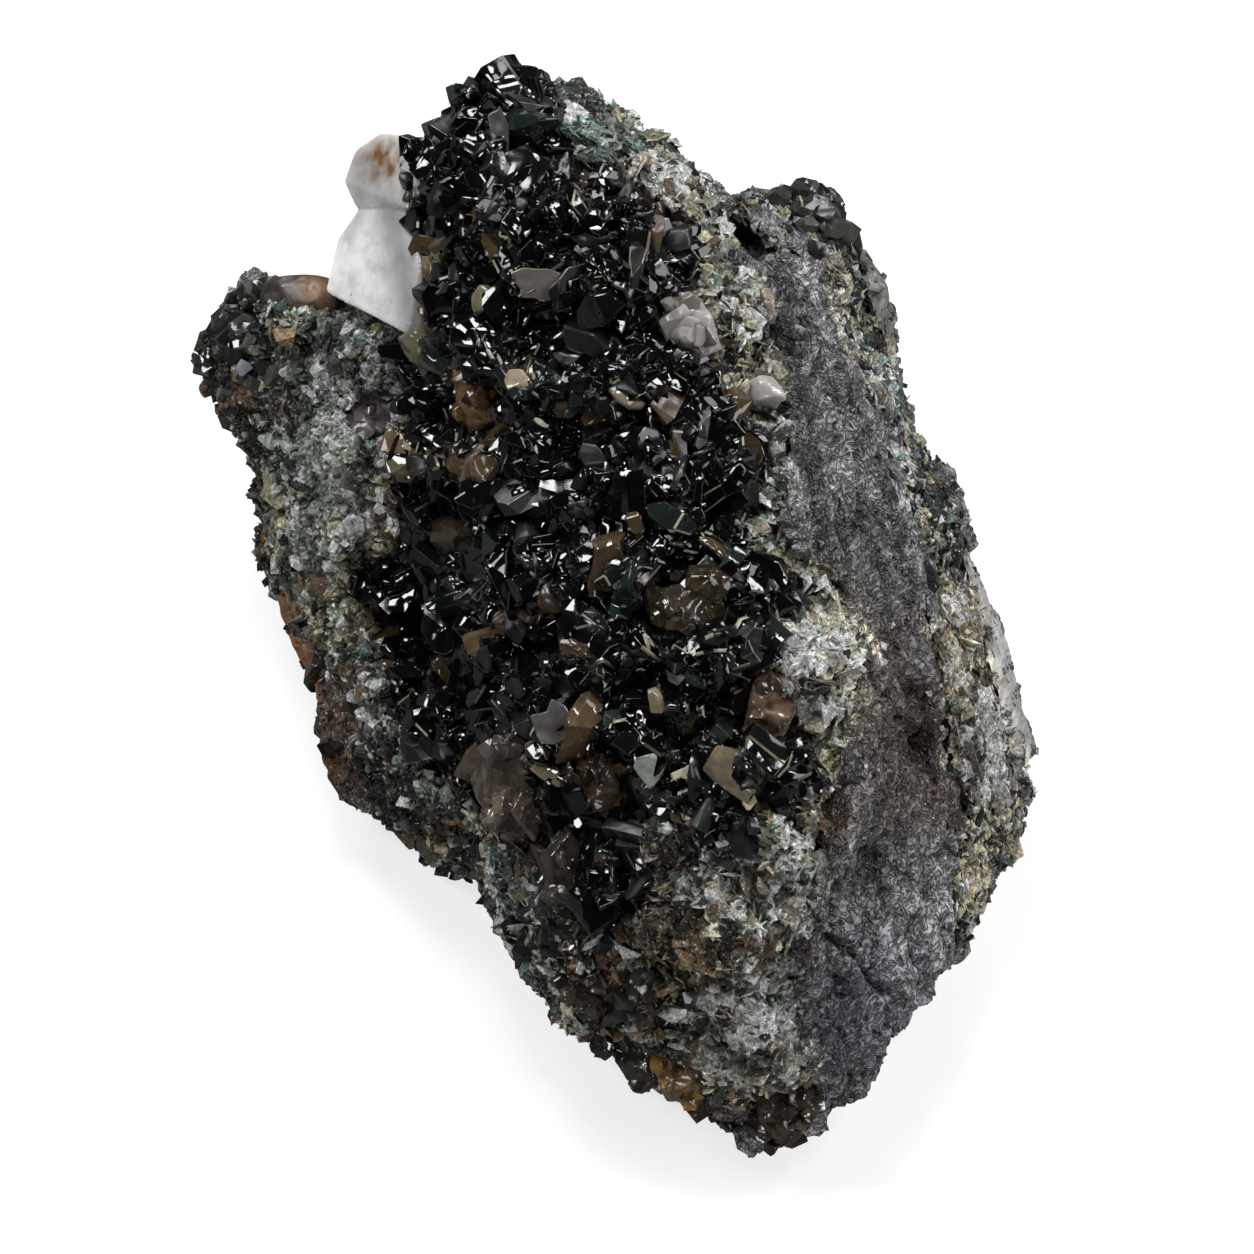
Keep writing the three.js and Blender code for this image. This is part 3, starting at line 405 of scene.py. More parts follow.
# %% Finishes of the siderite and the quartz
siderite_finish = tinted_finish(
    "siderite_brown_resin", 700.0, 0.5, 0.06, 1.6, waves=(600.0, 0.5)
)
quartz_flecks = [(2600.0, 0.67, 0.71, colour(150, 148, 146))]
quartz_finish = tinted_finish(
    "quartz_milky", 420.0, 0.10, 0.04, 1.55, flecks=quartz_flecks, waves=(420.0, 0.4)
)
MILKY_QUARTZ = {
    "Transmission Weight": 0.14,
    "Subsurface Weight": 0.30,
    "Subsurface Radius": (1.0, 1.0, 1.0),
    "Subsurface Scale": 1.5 * MM,
}
fill(quartz_finish.node_tree.nodes["Principled BSDF"], MILKY_QUARTZ)
print("the quartz lets light in under its surface")

# %% [markdown]
# ## Points, noise and masks
# The surfaces are worked as arrays of points. A cloud of noise moves them in and out, and masks
# say where on the specimen something happens: near a pixel, along a line, or close to another
# piece.

# %% Helpers: points and noise
def points_of(mesh):
    """The points of a mesh in millimetres."""
    numbers = np.empty(len(mesh.vertices) * 3, np.float32)
    mesh.vertices.foreach_get("co", numbers)
    return numbers.reshape(-1, 3).astype(float) / MM


def normals_of(mesh):
    """The direction in which each point of a mesh faces."""
    numbers = np.empty(len(mesh.vertices) * 3, np.float32)
    mesh.vertex_normals.foreach_get("vector", numbers)
    return numbers.reshape(-1, 3).astype(float)


def set_points(mesh, points):
    """Puts the points of a mesh where they are given, in millimetres."""
    mesh.vertices.foreach_set("co", (points * MM).astype(np.float32).ravel())
    mesh.update()


def clouds(points, size, octaves, seed):
    """Soft noise, about -1 to 1, with lumps of the given size in millimetres."""
    start = Vector((seed * 17.3, seed * 5.1, seed * 9.7))
    return np.array([noise.fractal(Vector(p) + start, 1.0, 2.0, octaves) for p in points / size])


def cells(points, size, seed):
    """Cell noise: 0 in the middle of each cell and about 1 at its border."""
    start = Vector((seed * 7.7, seed * 3.9, seed * 11.3))
    return np.array([noise.voronoi(Vector(p) + start)[0][0] for p in points / size])


def near_pixel(plane, x, y, reach_px):
    """1 at a pixel of the picture plane, falling to 0 round it."""
    right, up = from_pixels(x, y)
    far = ((plane[0] - right) ** 2 + (plane[1] - up) ** 2) * PIXELS_PER_MM**2
    return np.exp(-far / reach_px**2)


def near_line(plane, pixels, reach_px):
    """1 on a line through pixels of the picture plane, falling to 0 beside it."""
    best = np.full(len(plane[0]), 1e9)
    corners = [from_pixels(*pixel) for pixel in pixels]
    for (x0, y0), (x1, y1) in zip(corners, corners[1:]):
        along_x, along_y = x1 - x0, y1 - y0
        share = (plane[0] - x0) * along_x + (plane[1] - y0) * along_y
        share = np.clip(share / (along_x**2 + along_y**2), 0, 1)
        far = (plane[0] - x0 - share * along_x) ** 2 + (plane[1] - y0 - share * along_y) ** 2
        best = np.minimum(best, far)
    return np.exp(-best * PIXELS_PER_MM**2 / reach_px**2)


def set_tint(mesh, tint):
    """Writes a colour and a roughness for each point into the mesh."""
    attribute = mesh.attributes.new("tint", "FLOAT_COLOR", "POINT")
    attribute.data.foreach_set("color", tint.astype(np.float32).ravel())


# %% [markdown]
# ## Bodies from the model
# The model's solids have the right size and place but flat facets. A broken stone has none, so a
# copy of each solid is merged, filled with small cubes that are shrunk onto it (a voxel remesh),
# and then moved in and out by noise. Subdividing the facets would have kept their edges.

# %% Helpers: copies and remeshing
def new_object(name, mesh):
    """A new object that holds a mesh, in the scene."""
    piece = bpy.data.objects.new(name, mesh)
    scene.collection.objects.link(piece)
    return piece


def merged_copy(node, name):
    """A copy of a node of the model as a new object, with shared corners merged."""
    shape = bmesh.new()
    shape.from_mesh(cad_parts[node].data)
    bmesh.ops.remove_doubles(shape, verts=shape.verts, dist=0.001 * MM)
    mesh = bpy.data.meshes.new(name)
    shape.to_mesh(mesh)
    shape.free()
    return new_object(name, mesh)


def apply_modifiers(piece):
    """Makes what the modifiers show the mesh of the piece itself."""
    shown = piece.evaluated_get(bpy.context.evaluated_depsgraph_get())
    mesh = bpy.data.meshes.new_from_object(shown)
    piece.modifiers.clear()
    piece.data = mesh
    mesh.name = piece.name


def remeshed(node, name, voxel_mm, smoothing):
    """A copy of a node as an even fine mesh with its facet edges worn down."""
    piece = merged_copy(node, name)
    cubes = piece.modifiers.new("cubes", "REMESH")
    cubes.mode = "VOXEL"
    cubes.voxel_size = voxel_mm * MM
    wear = piece.modifiers.new("wear", "SMOOTH")
    wear.factor = 0.5
    wear.iterations = smoothing
    apply_modifiers(piece)
    print(name, "has", len(piece.data.polygons), "faces")
    return piece


slot_finishes = {
    "ironstone": ironstone_finish,
    "kulanite": kulanite_finish,
    "green_crust": crust_finish,
    "quartz": quartz_finish,
    "siderite": siderite_finish,
}


def finish_piece(piece, slot, *nodes):
    """Gives a piece its slot with the slot's finish, its body and the nodes that it stands for."""
    piece.data.materials.clear()
    piece.data.materials.append(slot_finishes[slot])
    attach(piece, "root")
    if nodes:
        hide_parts(*nodes)


print(len(slot_finishes), "slots have a finish")

# %% [markdown]
# ## Bare and worn places
# In four places on the visible side a crust is missing. The two slabs at the right edge and the
# strip on the left are worn smooth, and beside the cream line the rough stone shows. Each place
# is a closed line through pixels with the colour of the stone there, and on the slab at the right
# edge that colour is raised with painted light, because the slab turns away from the light. Noise
# moves the lines, because a crust breaks off raggedly, and a place ends where the surface turns
# away. Modelled plates would be the other way, but they would show a seam.

# %% Where a crust is missing
bare_places = [
    # The slab on the right edge is paler partly by its own grey and partly by painted light, because it
    # turns away from the light.
    ("slab on the right edge", "smooth", (160, 160, 158), [
        (962, 552), (974, 605), (990, 650), (1002, 695), (1014, 728), (1030, 790), (1060, 790),
        (1060, 552),
    ]),
    ("slab above it", "smooth", (106, 104, 100), [
        (850, 236), (856, 280), (872, 300), (882, 345), (890, 365), (905, 400), (914, 440),
        (940, 440), (940, 232),
    ]),
    ("stone beside the cream line", "rough", (136, 135, 137), [
        (800, 215), (823, 252), (840, 310), (862, 375), (896, 459), (914, 520), (940, 575),
        (950, 620), (900, 640), (780, 225),
    ]),
    ("strip on the left", "smooth", (134, 92, 52), [
        (255, 492), (276, 495), (296, 560), (312, 650), (318, 700), (295, 700), (250, 600),
    ]),
]
RAGGED_MM = 0.6
HIDDEN_SIDE = -0.15


def ragged(plane):
    """The picture plane with its places moved a little by noise, so that borders are ragged."""
    flat = np.column_stack([*plane, np.zeros(len(plane[0]))])
    return [side + RAGGED_MM * clouds(flat, 1.5, 3, seed) for side, seed in zip(plane, (33, 34))]


def worn_places(plane, facing, lines):
    """True for points on the visible side that are inside one of the lines."""
    plane = ragged(plane)
    there = np.any([inside(plane, line) for line in lines], axis=0)
    return there & (facing @ viewer_axis > HIDDEN_SIDE)


def bare(plane, facing):
    """True for points where a crust is worn off and the stone shows."""
    return worn_places(plane, facing, [line for *_, line in bare_places])


def worn_smooth(plane, facing):
    """True for points in the places that are not only bare but worn smooth."""
    lines = [line for _, feel, _, line in bare_places if feel == "smooth"]
    return worn_places(plane, facing, lines)


def worn_tint(spots, tint, worn):
    """The tint with the tone listed for each bare place where a crust is worn off; the right-edge
    slab's tone holds painted light.
    """
    plane = ragged(in_plane(spots))
    for _, _, tone, line in bare_places:
        bare_tone = np.exp(0.35 * clouds(spots, 1.6, 3, 32))[:, None] * np.array(colour(*tone))
        tint = np.where((inside(plane, line) & worn)[:, None], bare_tone, tint)
    return tint


def wear(piece, worn, finish):
    """Gives a piece a second finish, on the faces whose first point is marked as worn."""
    mesh = piece.data
    corners = np.empty(len(mesh.loops), np.int32)
    mesh.loops.foreach_get("vertex_index", corners)
    starts = np.empty(len(mesh.polygons), np.int32)
    mesh.polygons.foreach_get("loop_start", starts)
    finishes = np.empty(len(mesh.polygons), np.int32)
    mesh.polygons.foreach_get("material_index", finishes)
    finishes[worn[corners[starts]]] = len(mesh.materials)
    mesh.materials.append(finish)
    mesh.polygons.foreach_set("material_index", finishes)
    mesh.update()


print(len(bare_places), "places are bare")

# %% [markdown]
# ## The ironstone
# On the real specimen the grey face right of the crest is a fresh break. It is dark grey with a
# fine fibrous grain that runs down the face, low steps, a cleft with rust in it at the top, a
# crack at the foot and a deep brown pit. The rest of the lump is duller and stained brown. The
# noise is stretched along the bedding to give the streaks, and the dents are placed by pixel. A
# few bulges and hollows trim the outline of the left lobe and the low end.

# %% Bulges and hollows that the outline shows
bulges = [
    ("left tip", 212, 318, 34, 1.3),
    ("left shoulder", 245, 288, 26, 0.9),
    ("left waist", 240, 470, 28, -1.1),
    ("below the left waist", 246, 515, 22, -0.9),
    ("round the grey crystal", 374, 412, 30, -0.8),
    ("low end", 768, 1142, 24, 1.1),
]


def bulged(plane):
    """How far the surface is pushed out at the places in the list, in millimetres."""
    return sum(height * near_pixel(plane, x, y, reach) for _, x, y, reach, height in bulges)


print(len(bulges), "bulges and hollows")

# %% Ironstone: bedding, dents and steps
bedding = Vector((0.18, -0.90, -0.40)).normalized()
stone_dents = [
    ("dark hole in the cleft", 737, 228, 16, 2.2),
    ("cleft", 752, 255, 18, 1.2),
    ("cleft foot", 770, 290, 18, 0.9),
    ("shelf shadow", 795, 335, 16, 1.3),
    ("top of the brown pit", 922, 700, 18, 1.8),
    ("brown pit", 930, 745, 22, 2.3),
    ("hollow above the pit", 905, 650, 34, 1.0),
    ("hollow on the face", 850, 560, 40, 0.7),
    ("long dent", 880, 840, 40, 0.7),
    ("dent by the knob", 818, 930, 22, 1.0),
]
stone_crack = [(818, 932), (850, 950), (880, 985), (915, 1018)]
stone_steps = [
    [(760, 300), (800, 345), (840, 420), (880, 520)],
    [(740, 470), (790, 560), (850, 640), (905, 760)],
    [(860, 400), (905, 520), (935, 640)],
    [(830, 760), (870, 850), (940, 900)],
]

stone_relief = {
    "swells": 0.60,
    "ledges": 0.40,
    "ridges": 1.00,
    "fibres": 0.65,
    "chips": 0.70,
    "creases": 0.60,
    "crack": 0.9,
    "steps": 0.45,
}
CREASE_SHARE = 0.05
print(len(stone_dents), "dents and", len(stone_steps), "steps are listed")

# %% Ironstone: shape
STONE_VOXEL_MM = 0.38
STONE_SMOOTHING = 6
stone = remeshed("ironstone", "ironstone_lump", STONE_VOXEL_MM, STONE_SMOOTHING)
stone_points = points_of(stone.data)
stone_normals = normals_of(stone.data)
stone_plane = in_plane(stone_points)
seen = np.clip(stone_normals @ viewer_axis * 3, 0, 1)
along = stone_points @ np.array(bedding)
stretched = stone_points - np.outer(along * 0.75, bedding)
ledges = clouds(stretched, 5.5, 3, 8)
push = stone_relief["swells"] * clouds(stone_points, 7.0, 2, 1)
push += stone_relief["ledges"] * np.tanh(5.0 * ledges)
push += stone_relief["ridges"] * clouds(stretched, 3.2, 3, 2)
push += stone_relief["fibres"] * clouds(stretched, 1.1, 3, 3)
push += stone_relief["chips"] * (cells(stretched, 2.2, 4) - 0.5)
on_the_knob = near_pixel(stone_plane, 340, 740, 55)
push += on_the_knob * (1.1 * (0.45 - cells(stone_points, 1.7, 17)) - 0.6 * clouds(stretched, 3.2, 3, 2))
creases = np.exp(-((clouds(stretched, 3.4, 2, 5) / CREASE_SHARE) ** 2))
fine_creases = np.exp(-((clouds(stretched, 1.8, 2, 6) / CREASE_SHARE) ** 2))
creases = np.maximum(creases, 0.7 * fine_creases)
push -= stone_relief["creases"] * creases
for _, x, y, reach, depth in stone_dents:
    push -= depth * near_pixel(stone_plane, x, y, reach) * seen
push -= stone_relief["crack"] * near_line(stone_plane, stone_crack, 5) * seen
for step in stone_steps:
    push -= stone_relief["steps"] * near_line(stone_plane, step, 7) * seen
on_the_slab = worn_smooth(stone_plane, stone_normals)
push *= np.where(on_the_slab, 0.3, 1.0)
push += bulged(stone_plane)
settled = np.clip((stone_points[:, 2] - 0.2) / 1.5, 0, 1)
stone_points += stone_normals * (push * settled)[:, None]
stone_points[:, 2] = np.where(settled > 0, np.maximum(stone_points[:, 2], 0.15), 0)
set_points(stone.data, stone_points)
print("the ironstone is", np.round(np.ptp(stone_points, axis=0), 1), "mm")

# %% Ironstone: colour
stone_colours = colours(
    grey=(166, 165, 168), dark=(66, 65, 68), pale=(192, 190, 187), brown=(66, 56, 47),
    rust=(116, 84, 56), blue=(112, 114, 124), pit=(56, 43, 33), red=(58, 26, 18),
)
rust_spots = [
    ("beside the crest", 822, 815, 26, 0.8),
    ("by the knob", 800, 960, 22, 0.7),
    ("round the brown pit", 925, 735, 42, 0.9),
    ("below the white cluster", 850, 700, 40, 0.6),
    ("below the pit", 900, 800, 40, 0.4),
    ("over the hollow", 880, 640, 34, 0.4),
    ("right of the pit", 950, 800, 30, 0.5),
    ("knob top", 335, 690, 34, 1.2),
    ("knob", 338, 755, 48, 1.3),
    ("under the left crust", 280, 560, 40, 0.9),
    ("foot", 690, 1120, 40, 0.6),
]
stone_plane = in_plane(stone_points)
stone_normals = normals_of(stone.data)


def mix(tint, palette, name, share):
    """Moves the colours towards one of the palette, by a share for each point."""
    tint += (np.array(palette[name]) - tint) * np.clip(share, 0, 1)[:, None]


away = 1 - np.clip(stone_normals @ viewer_axis * 2 + 0.6, 0, 1)
stone_layers = [
    ("dark", 0.24 + 1.2 * clouds(stretched, 3.0, 3, 11)),
    ("pale", 1.1 * clouds(stretched, 0.8, 2, 12) - 0.2),
    # Painted shade: darker on the steps of the ledges.
    ("dark", 0.8 * np.exp(-((ledges / CREASE_SHARE) ** 2))),
    ("dark", 0.9 * clouds(stretched, 1.3, 3, 18)),
    ("dark", 0.6 * near_pixel(stone_plane, 860, 600, 70)),
    # Painted shade: darker where the surface is pushed in, in the dents, cleft, pit, steps and creases,
    # and again in the creases.
    ("dark", -push * 0.8 - 0.2),
    ("dark", 0.8 * creases),
    ("brown", away * (0.35 + 0.9 * clouds(stone_points, 9.0, 3, 13))),
    ("rust", away * (clouds(stone_points, 5.0, 3, 14) - 0.15)),
]
for _, x, y, reach, share in rust_spots:
    spread = near_pixel(stone_plane, x, y, reach) * share
    stone_layers.append(("brown", spread * 1.2))
    stone_layers.append(("rust", spread * (0.55 + clouds(stone_points, 1.2, 2, 15))))
stone_layers += [
    ("blue", 0.7 * near_pixel(stone_plane, 850, 1010, 100)),
    ("blue", 0.7 * near_pixel(stone_plane, 765, 235, 30)),
    ("red", near_pixel(stone_plane, 735, 222, 15)),
    ("pit", 1.2 * near_line(stone_plane, [(918, 700), (930, 755)], 22)),
]
stone_tint = np.tile(np.array(stone_colours["grey"]), (len(stone_points), 1))
for name, share in stone_layers:
    mix(stone_tint, stone_colours, name, share)
stone_tint = worn_tint(stone_points, stone_tint, on_the_slab)
stone_rough = np.clip(0.62 + 0.2 * clouds(stone_points, 1.5, 2, 16), 0.4, 0.9)
print("the ironstone has", len(stone_tint), "tinted points")

# %% [markdown]
# ## The crusts
# The green crusts are skins of tiny crystals, a few tenths of a millimetre each, grown on little
# rounded mounds. The mounds are made like the stone, from the model's crusts, swollen a little so
# that each meets the rock round it. Moving the grains alone would leave the crust flat.

# %% Crusts: shape
CRUST_VOXEL_MM = 0.28
CRUST_SMOOTHING = 5
CRUST_SWELL_MM = 0.2
CRUST_WAVES = [(0.45, 4.0, 21), (0.22, 0.7, 24)]
CRUST_MOUNDS = [(0.90, 2.4, 22), (0.25, 1.1, 23)]
crusts = {}
crust_height = {}
crust_bare = {}
crust_smooth = {}
for node in ("crest_crust", "left_crust", "right_crust"):
    crust = remeshed(node, node + "_bed", CRUST_VOXEL_MM, CRUST_SMOOTHING)
    spots = points_of(crust.data)
    facing = normals_of(crust.data)
    plane = in_plane(spots)
    relief = sum(depth * clouds(spots, size, 2, seed) for depth, size, seed in CRUST_WAVES)
    relief += sum(depth * (0.45 - cells(spots, size, seed)) for depth, size, seed in CRUST_MOUNDS)
    crust_bare[node] = bare(plane, facing)
    crust_smooth[node] = worn_smooth(plane, facing)
    push = CRUST_SWELL_MM + relief * np.where(crust_bare[node], 0.3, 1.0)
    push += bulged(plane)
    crust_height[node] = relief
    spots += facing * push[:, None]
    spots[:, 2] = np.maximum(spots[:, 2], 0.3)
    set_points(crust.data, spots)
    crusts[node] = crust
print(len(crusts), "beds of crust")

# %% [markdown]
# ## The crystals
# A crystal is a block cut by flat faces. One block is made with bmesh and cut by planes, as a
# growing crystal ends in planes, and its edges are beveled where it is big enough to see. Flakes
# of shell are cut from a disc and bent. About ten shapes of a kind are enough, because each copy
# is stretched and turned on its own. The copies are joined into one mesh for each piece, written
# straight from arrays, because a single object for each crystal would be far too many. The
# smallest grains have only five to ten faces, which is all that shows at their size.

# %% Helpers: cut crystals, plates and flakes
def as_arrays(shape, random, rims=(), pale_share=0.0):
    """Turns a shape into arrays: its points, corners, face sizes and which corners are pale."""
    bmesh.ops.recalc_face_normals(shape, faces=shape.faces)
    shape.verts.index_update()
    corners = [v.index for f in shape.faces for v in f.verts]
    sizes = [len(f.verts) for f in shape.faces]
    pale = {f for f in shape.faces if f in rims and random.random() < pale_share}
    rim = [f in pale for f in shape.faces for _ in f.verts]
    made = (np.array([v.co for v in shape.verts]), np.array(corners), np.array(sizes), np.array(rim))
    shape.free()
    return made


def beveled(shape, width):
    """Takes the sharpness off all edges and gives the new narrow faces."""
    made = bmesh.ops.bevel(
        shape,
        geom=shape.edges[:],
        offset=width,
        affect="EDGES",
        segments=1,
        profile=0.5,
        material=-1,
        clamp_overlap=True,
    )
    return set(made["faces"])


def cut_crystal(random, sides, width, thickness, cuts, bevel=0):
    """A crystal 1 high that stands on its point of growth, as arrays: points, corners and rims."""
    shape = bmesh.new()
    bmesh.ops.create_cone(
        shape,
        cap_ends=True,
        segments=sides,
        radius1=random.uniform(0.45, 0.6),
        radius2=random.uniform(0.34, 0.55),
        depth=1.0,
    )
    for corner in shape.verts:
        corner.co.xy *= random.uniform(0.8, 1.15)
    bmesh.ops.scale(shape, vec=(width, thickness, 1.0), verts=shape.verts)
    for _ in range(cuts):
        turn = random.uniform(0, 2 * math.pi)
        plane = Vector((math.cos(turn), math.sin(turn), random.uniform(0.1, 1.4))).normalized()
        reach = max(plane.dot(corner.co) for corner in shape.verts)
        cut = bmesh.ops.bisect_plane(
            shape,
            geom=shape.verts[:] + shape.edges[:] + shape.faces[:],
            plane_co=plane * reach * random.uniform(0.55, 0.85),
            plane_no=plane,
            clear_outer=True,
        )
        opened = [e for e in cut["geom_cut"] if isinstance(e, bmesh.types.BMEdge)]
        bmesh.ops.contextual_create(shape, geom=opened)
    rims = beveled(shape, bevel) if bevel else ()
    bmesh.ops.translate(shape, vec=(0, 0, 0.2), verts=shape.verts)
    return as_arrays(shape, random, rims, 0.18)


def flat_plate(random, sides, thickness, bevel):
    """A plate with one flat face at height 0 that looks along z, 1 wide, as arrays."""
    shape = bmesh.new()
    bmesh.ops.create_circle(shape, cap_ends=True, segments=sides, radius=0.5)
    for corner in shape.verts:
        corner.co.xy *= random.uniform(0.6, 1.25)
        corner.co.x += random.normal(0, 0.06)
        corner.co.y += random.normal(0, 0.06)
    grown = bmesh.ops.extrude_face_region(shape, geom=shape.faces[:])
    lower = [v for v in grown["geom"] if isinstance(v, bmesh.types.BMVert)]
    bmesh.ops.translate(shape, vec=(0, 0, -thickness), verts=lower)
    rims = beveled(shape, bevel)
    return as_arrays(shape, random, rims, 0.35)


def bent_flake(random, sides, rise, thickness, pale_share, ragged=(0.65, 1.3)):
    """A flake 1 wide that is bent like a piece of shell, hollow side down, as arrays."""
    shape = bmesh.new()
    bmesh.ops.create_circle(shape, cap_ends=True, cap_tris=True, segments=sides, radius=0.5)
    narrow = random.uniform(0.55, 1.0)
    for corner in shape.verts:
        far = corner.co.xy.length / 0.5
        corner.co.xy *= random.uniform(*ragged)
        corner.co.y *= narrow
        corner.co.z = rise * (1 - far) + random.normal(0, 0.05)
    tops = set(shape.faces)
    grown = bmesh.ops.extrude_face_region(shape, geom=shape.faces[:])
    lower = [v for v in grown["geom"] if isinstance(v, bmesh.types.BMVert)]
    undersides = {f for f in grown["geom"] if isinstance(f, bmesh.types.BMFace)}
    bmesh.ops.translate(shape, vec=(0, 0, -thickness), verts=lower)
    rims = set(shape.faces) - tops - undersides
    return as_arrays(shape, random, rims, pale_share)


# %% Kinds of crystal
shapes_random = np.random.default_rng(7)


def cut_crystals(count, *form):
    """Some crystals of one kind, each cut differently."""
    return [cut_crystal(shapes_random, *form) for _ in range(count)]


blades = cut_crystals(10, 7, 0.90, 0.42, 3, 0.03)
plates = cut_crystals(8, 7, 1.15, 0.36, 2, 0.03)
blocks = cut_crystals(10, 5, 0.95, 0.75, 3, 0.025)
lumps = cut_crystals(8, 7, 1.1, 1.0, 6, 0.035)
shells = [bent_flake(shapes_random, sides, 0.22, 0.05, 0.8) for sides in (5, 6, 7, 6, 5, 7, 6, 5)]
CURL_SIDES = (10, 11, 12, 10, 11, 12, 10, 12)
curls = [bent_flake(shapes_random, sides, 0.30, 0.08, 0.4, (0.85, 1.15)) for sides in CURL_SIDES]
pebbles = cut_crystals(10, 5, 1.1, 1.0, 3)
flakes = cut_crystals(10, 4, 1.05, 0.22, 1)
splinters = cut_crystals(8, 4, 0.85, 0.32, 1)
crumbs = cut_crystals(12, 3, 1.1, 0.95, 0)
bright_shapes = [flat_plate(shapes_random, sides, 0.3, 0.03) for sides in (5, 6, 5, 7, 5, 6, 7, 6)]
dull_shapes = [flat_plate(shapes_random, sides, 0.3, 0.03) for sides in (9, 11, 10, 12, 9, 11, 10, 12)]
shape_sets = {"blades": blades, "blocks": blocks, "flakes": flakes, "crumbs": crumbs}
for name, shapes in shape_sets.items():
    print("the", name, "have up to", max(len(s[2]) for s in shapes), "faces")


# %% Helpers: points on a surface, and crystals grown there
def surface_points(mesh, count, random, weight=None):
    """Random points on a mesh, in millimetres, the way it faces there and a point close by."""
    mesh.calc_loop_triangles()
    triangles = np.empty(len(mesh.loop_triangles) * 3, np.int32)
    mesh.loop_triangles.foreach_get("vertices", triangles)
    corners = points_of(mesh)[triangles.reshape(-1, 3)]
    across = np.cross(corners[:, 1] - corners[:, 0], corners[:, 2] - corners[:, 0])
    area = np.linalg.norm(across, axis=1)
    facing = across / np.maximum(area, 1e-12)[:, None]
    chance = area.copy()
    if weight is not None:
        chance *= weight(corners.mean(axis=1), facing)
    picked = random.choice(len(chance), count, p=chance / chance.sum())
    first = random.random(count)
    second = random.random(count)
    flip = first + second > 1
    first[flip] = 1 - first[flip]
    second[flip] = 1 - second[flip]
    corner = corners[picked]
    spots = corner[:, 0] + first[:, None] * (corner[:, 1] - corner[:, 0])
    spots += second[:, None] * (corner[:, 2] - corner[:, 0])
    return spots, facing[picked], triangles.reshape(-1, 3)[picked, 0]


def unit(vectors):
    """The same directions, one long."""
    return vectors / np.maximum(np.linalg.norm(vectors, axis=1), 1e-9)[:, None]


def turned(facing, tilt, random):
    """Frames (right, across, up) whose up leans away from where the surface faces, by radians."""
    loose = random.normal(size=facing.shape)
    side = unit(np.cross(facing, loose))
    up = facing * np.cos(tilt)[:, None] + side * np.sin(tilt)[:, None]
    across = unit(np.cross(up, random.normal(size=facing.shape)))
    return np.stack([np.cross(across, up), across, up], axis=2)


def laid(facing, along, tilt, random):
    """Frames for flakes that lie on a surface with their width roughly along a direction."""
    up = turned(facing, tilt, random)[:, :, 2]
    width = np.array(along) + random.normal(0, 0.45, facing.shape)
    across = unit(np.cross(up, width))
    return np.stack([np.cross(across, up), across, up], axis=2)


LOWEST_MM = 0.25


def joined_crystals(name, shapes, spots, frames, sizes, body_tint, rim_tint, random, soft=False):
    """One mesh of many crystals. sizes are (width, thickness, height) in millimetres for each."""
    kinds = random.integers(len(shapes), size=len(spots))
    points, corners, starts, tints = [], [], [], []
    used = 0
    filled = 0
    for kind, (template, template_corners, face_sizes, rim) in enumerate(shapes):
        which = np.flatnonzero(kinds == kind)
        scaled = template[None, :, :] * sizes[which][:, None, :]
        placed = np.einsum("nij,nvj->nvi", frames[which], scaled) + spots[which][:, None, :]
        points.append(placed.reshape(-1, 3))
        offsets = used + np.arange(len(which)) * len(template)
        corners.append((template_corners[None, :] + offsets[:, None]).ravel())
        first = np.concatenate([[0], np.cumsum(face_sizes)[:-1]])
        loops = filled + np.arange(len(which)) * len(template_corners)
        starts.append((first[None, :] + loops[:, None]).ravel())
        shades = np.where(rim[None, :, None], rim_tint[which][:, None], body_tint[which][:, None])
        tints.append(shades.reshape(-1, 4))
        used += len(which) * len(template)
        filled += len(which) * len(template_corners)
    points, corners, starts = (np.concatenate(part) for part in (points, corners, starts))
    points[:, 2] = np.maximum(points[:, 2], LOWEST_MM)
    mesh = bpy.data.meshes.new(name)
    mesh.vertices.add(len(points))
    mesh.vertices.foreach_set("co", (points * MM).astype(np.float32).ravel())
    mesh.loops.add(len(corners))
    mesh.loops.foreach_set("vertex_index", corners.astype(np.int32))
    mesh.polygons.add(len(starts))
    mesh.polygons.foreach_set("loop_start", starts.astype(np.int32))
    mesh.update(calc_edges=True)
    attribute = mesh.attributes.new("tint", "FLOAT_COLOR", "CORNER")
    attribute.data.foreach_set("color", np.concatenate(tints).astype(np.float32).ravel())
    (mesh.shade_smooth if soft else mesh.shade_flat)()
    print(name, "has", len(spots), "crystals and", len(corners) - 2 * len(starts), "triangles")
    return new_object(name, mesh)


# %% [markdown]
# ## Which colour grows where
# Colours in a crust change over a few millimetres, and neighbouring grains still differ. Each
# grain draws its colour from a palette. The chance of each colour has a value for the whole
# crust, raised near the pixels where the specimen shows more of it: each place is (x, y, reach,
# how much). Veins do the same along a line.

# %% The palette
mineral_colours = colours(
    black=(11, 11, 12), bottle=(30, 38, 34), teal=(80, 97, 92), sage=(166, 178, 165),
    pale=(216, 221, 210), cream=(230, 220, 194), olive=(132, 128, 104), brown=(88, 73, 54),
    rust=(120, 90, 58), grey=(138, 137, 138), tan=(164, 151, 126), white=(232, 231, 222),
)
colour_names = list(mineral_colours)
palette = np.array(list(mineral_colours.values()))
print("the palette has", len(palette), "colours")

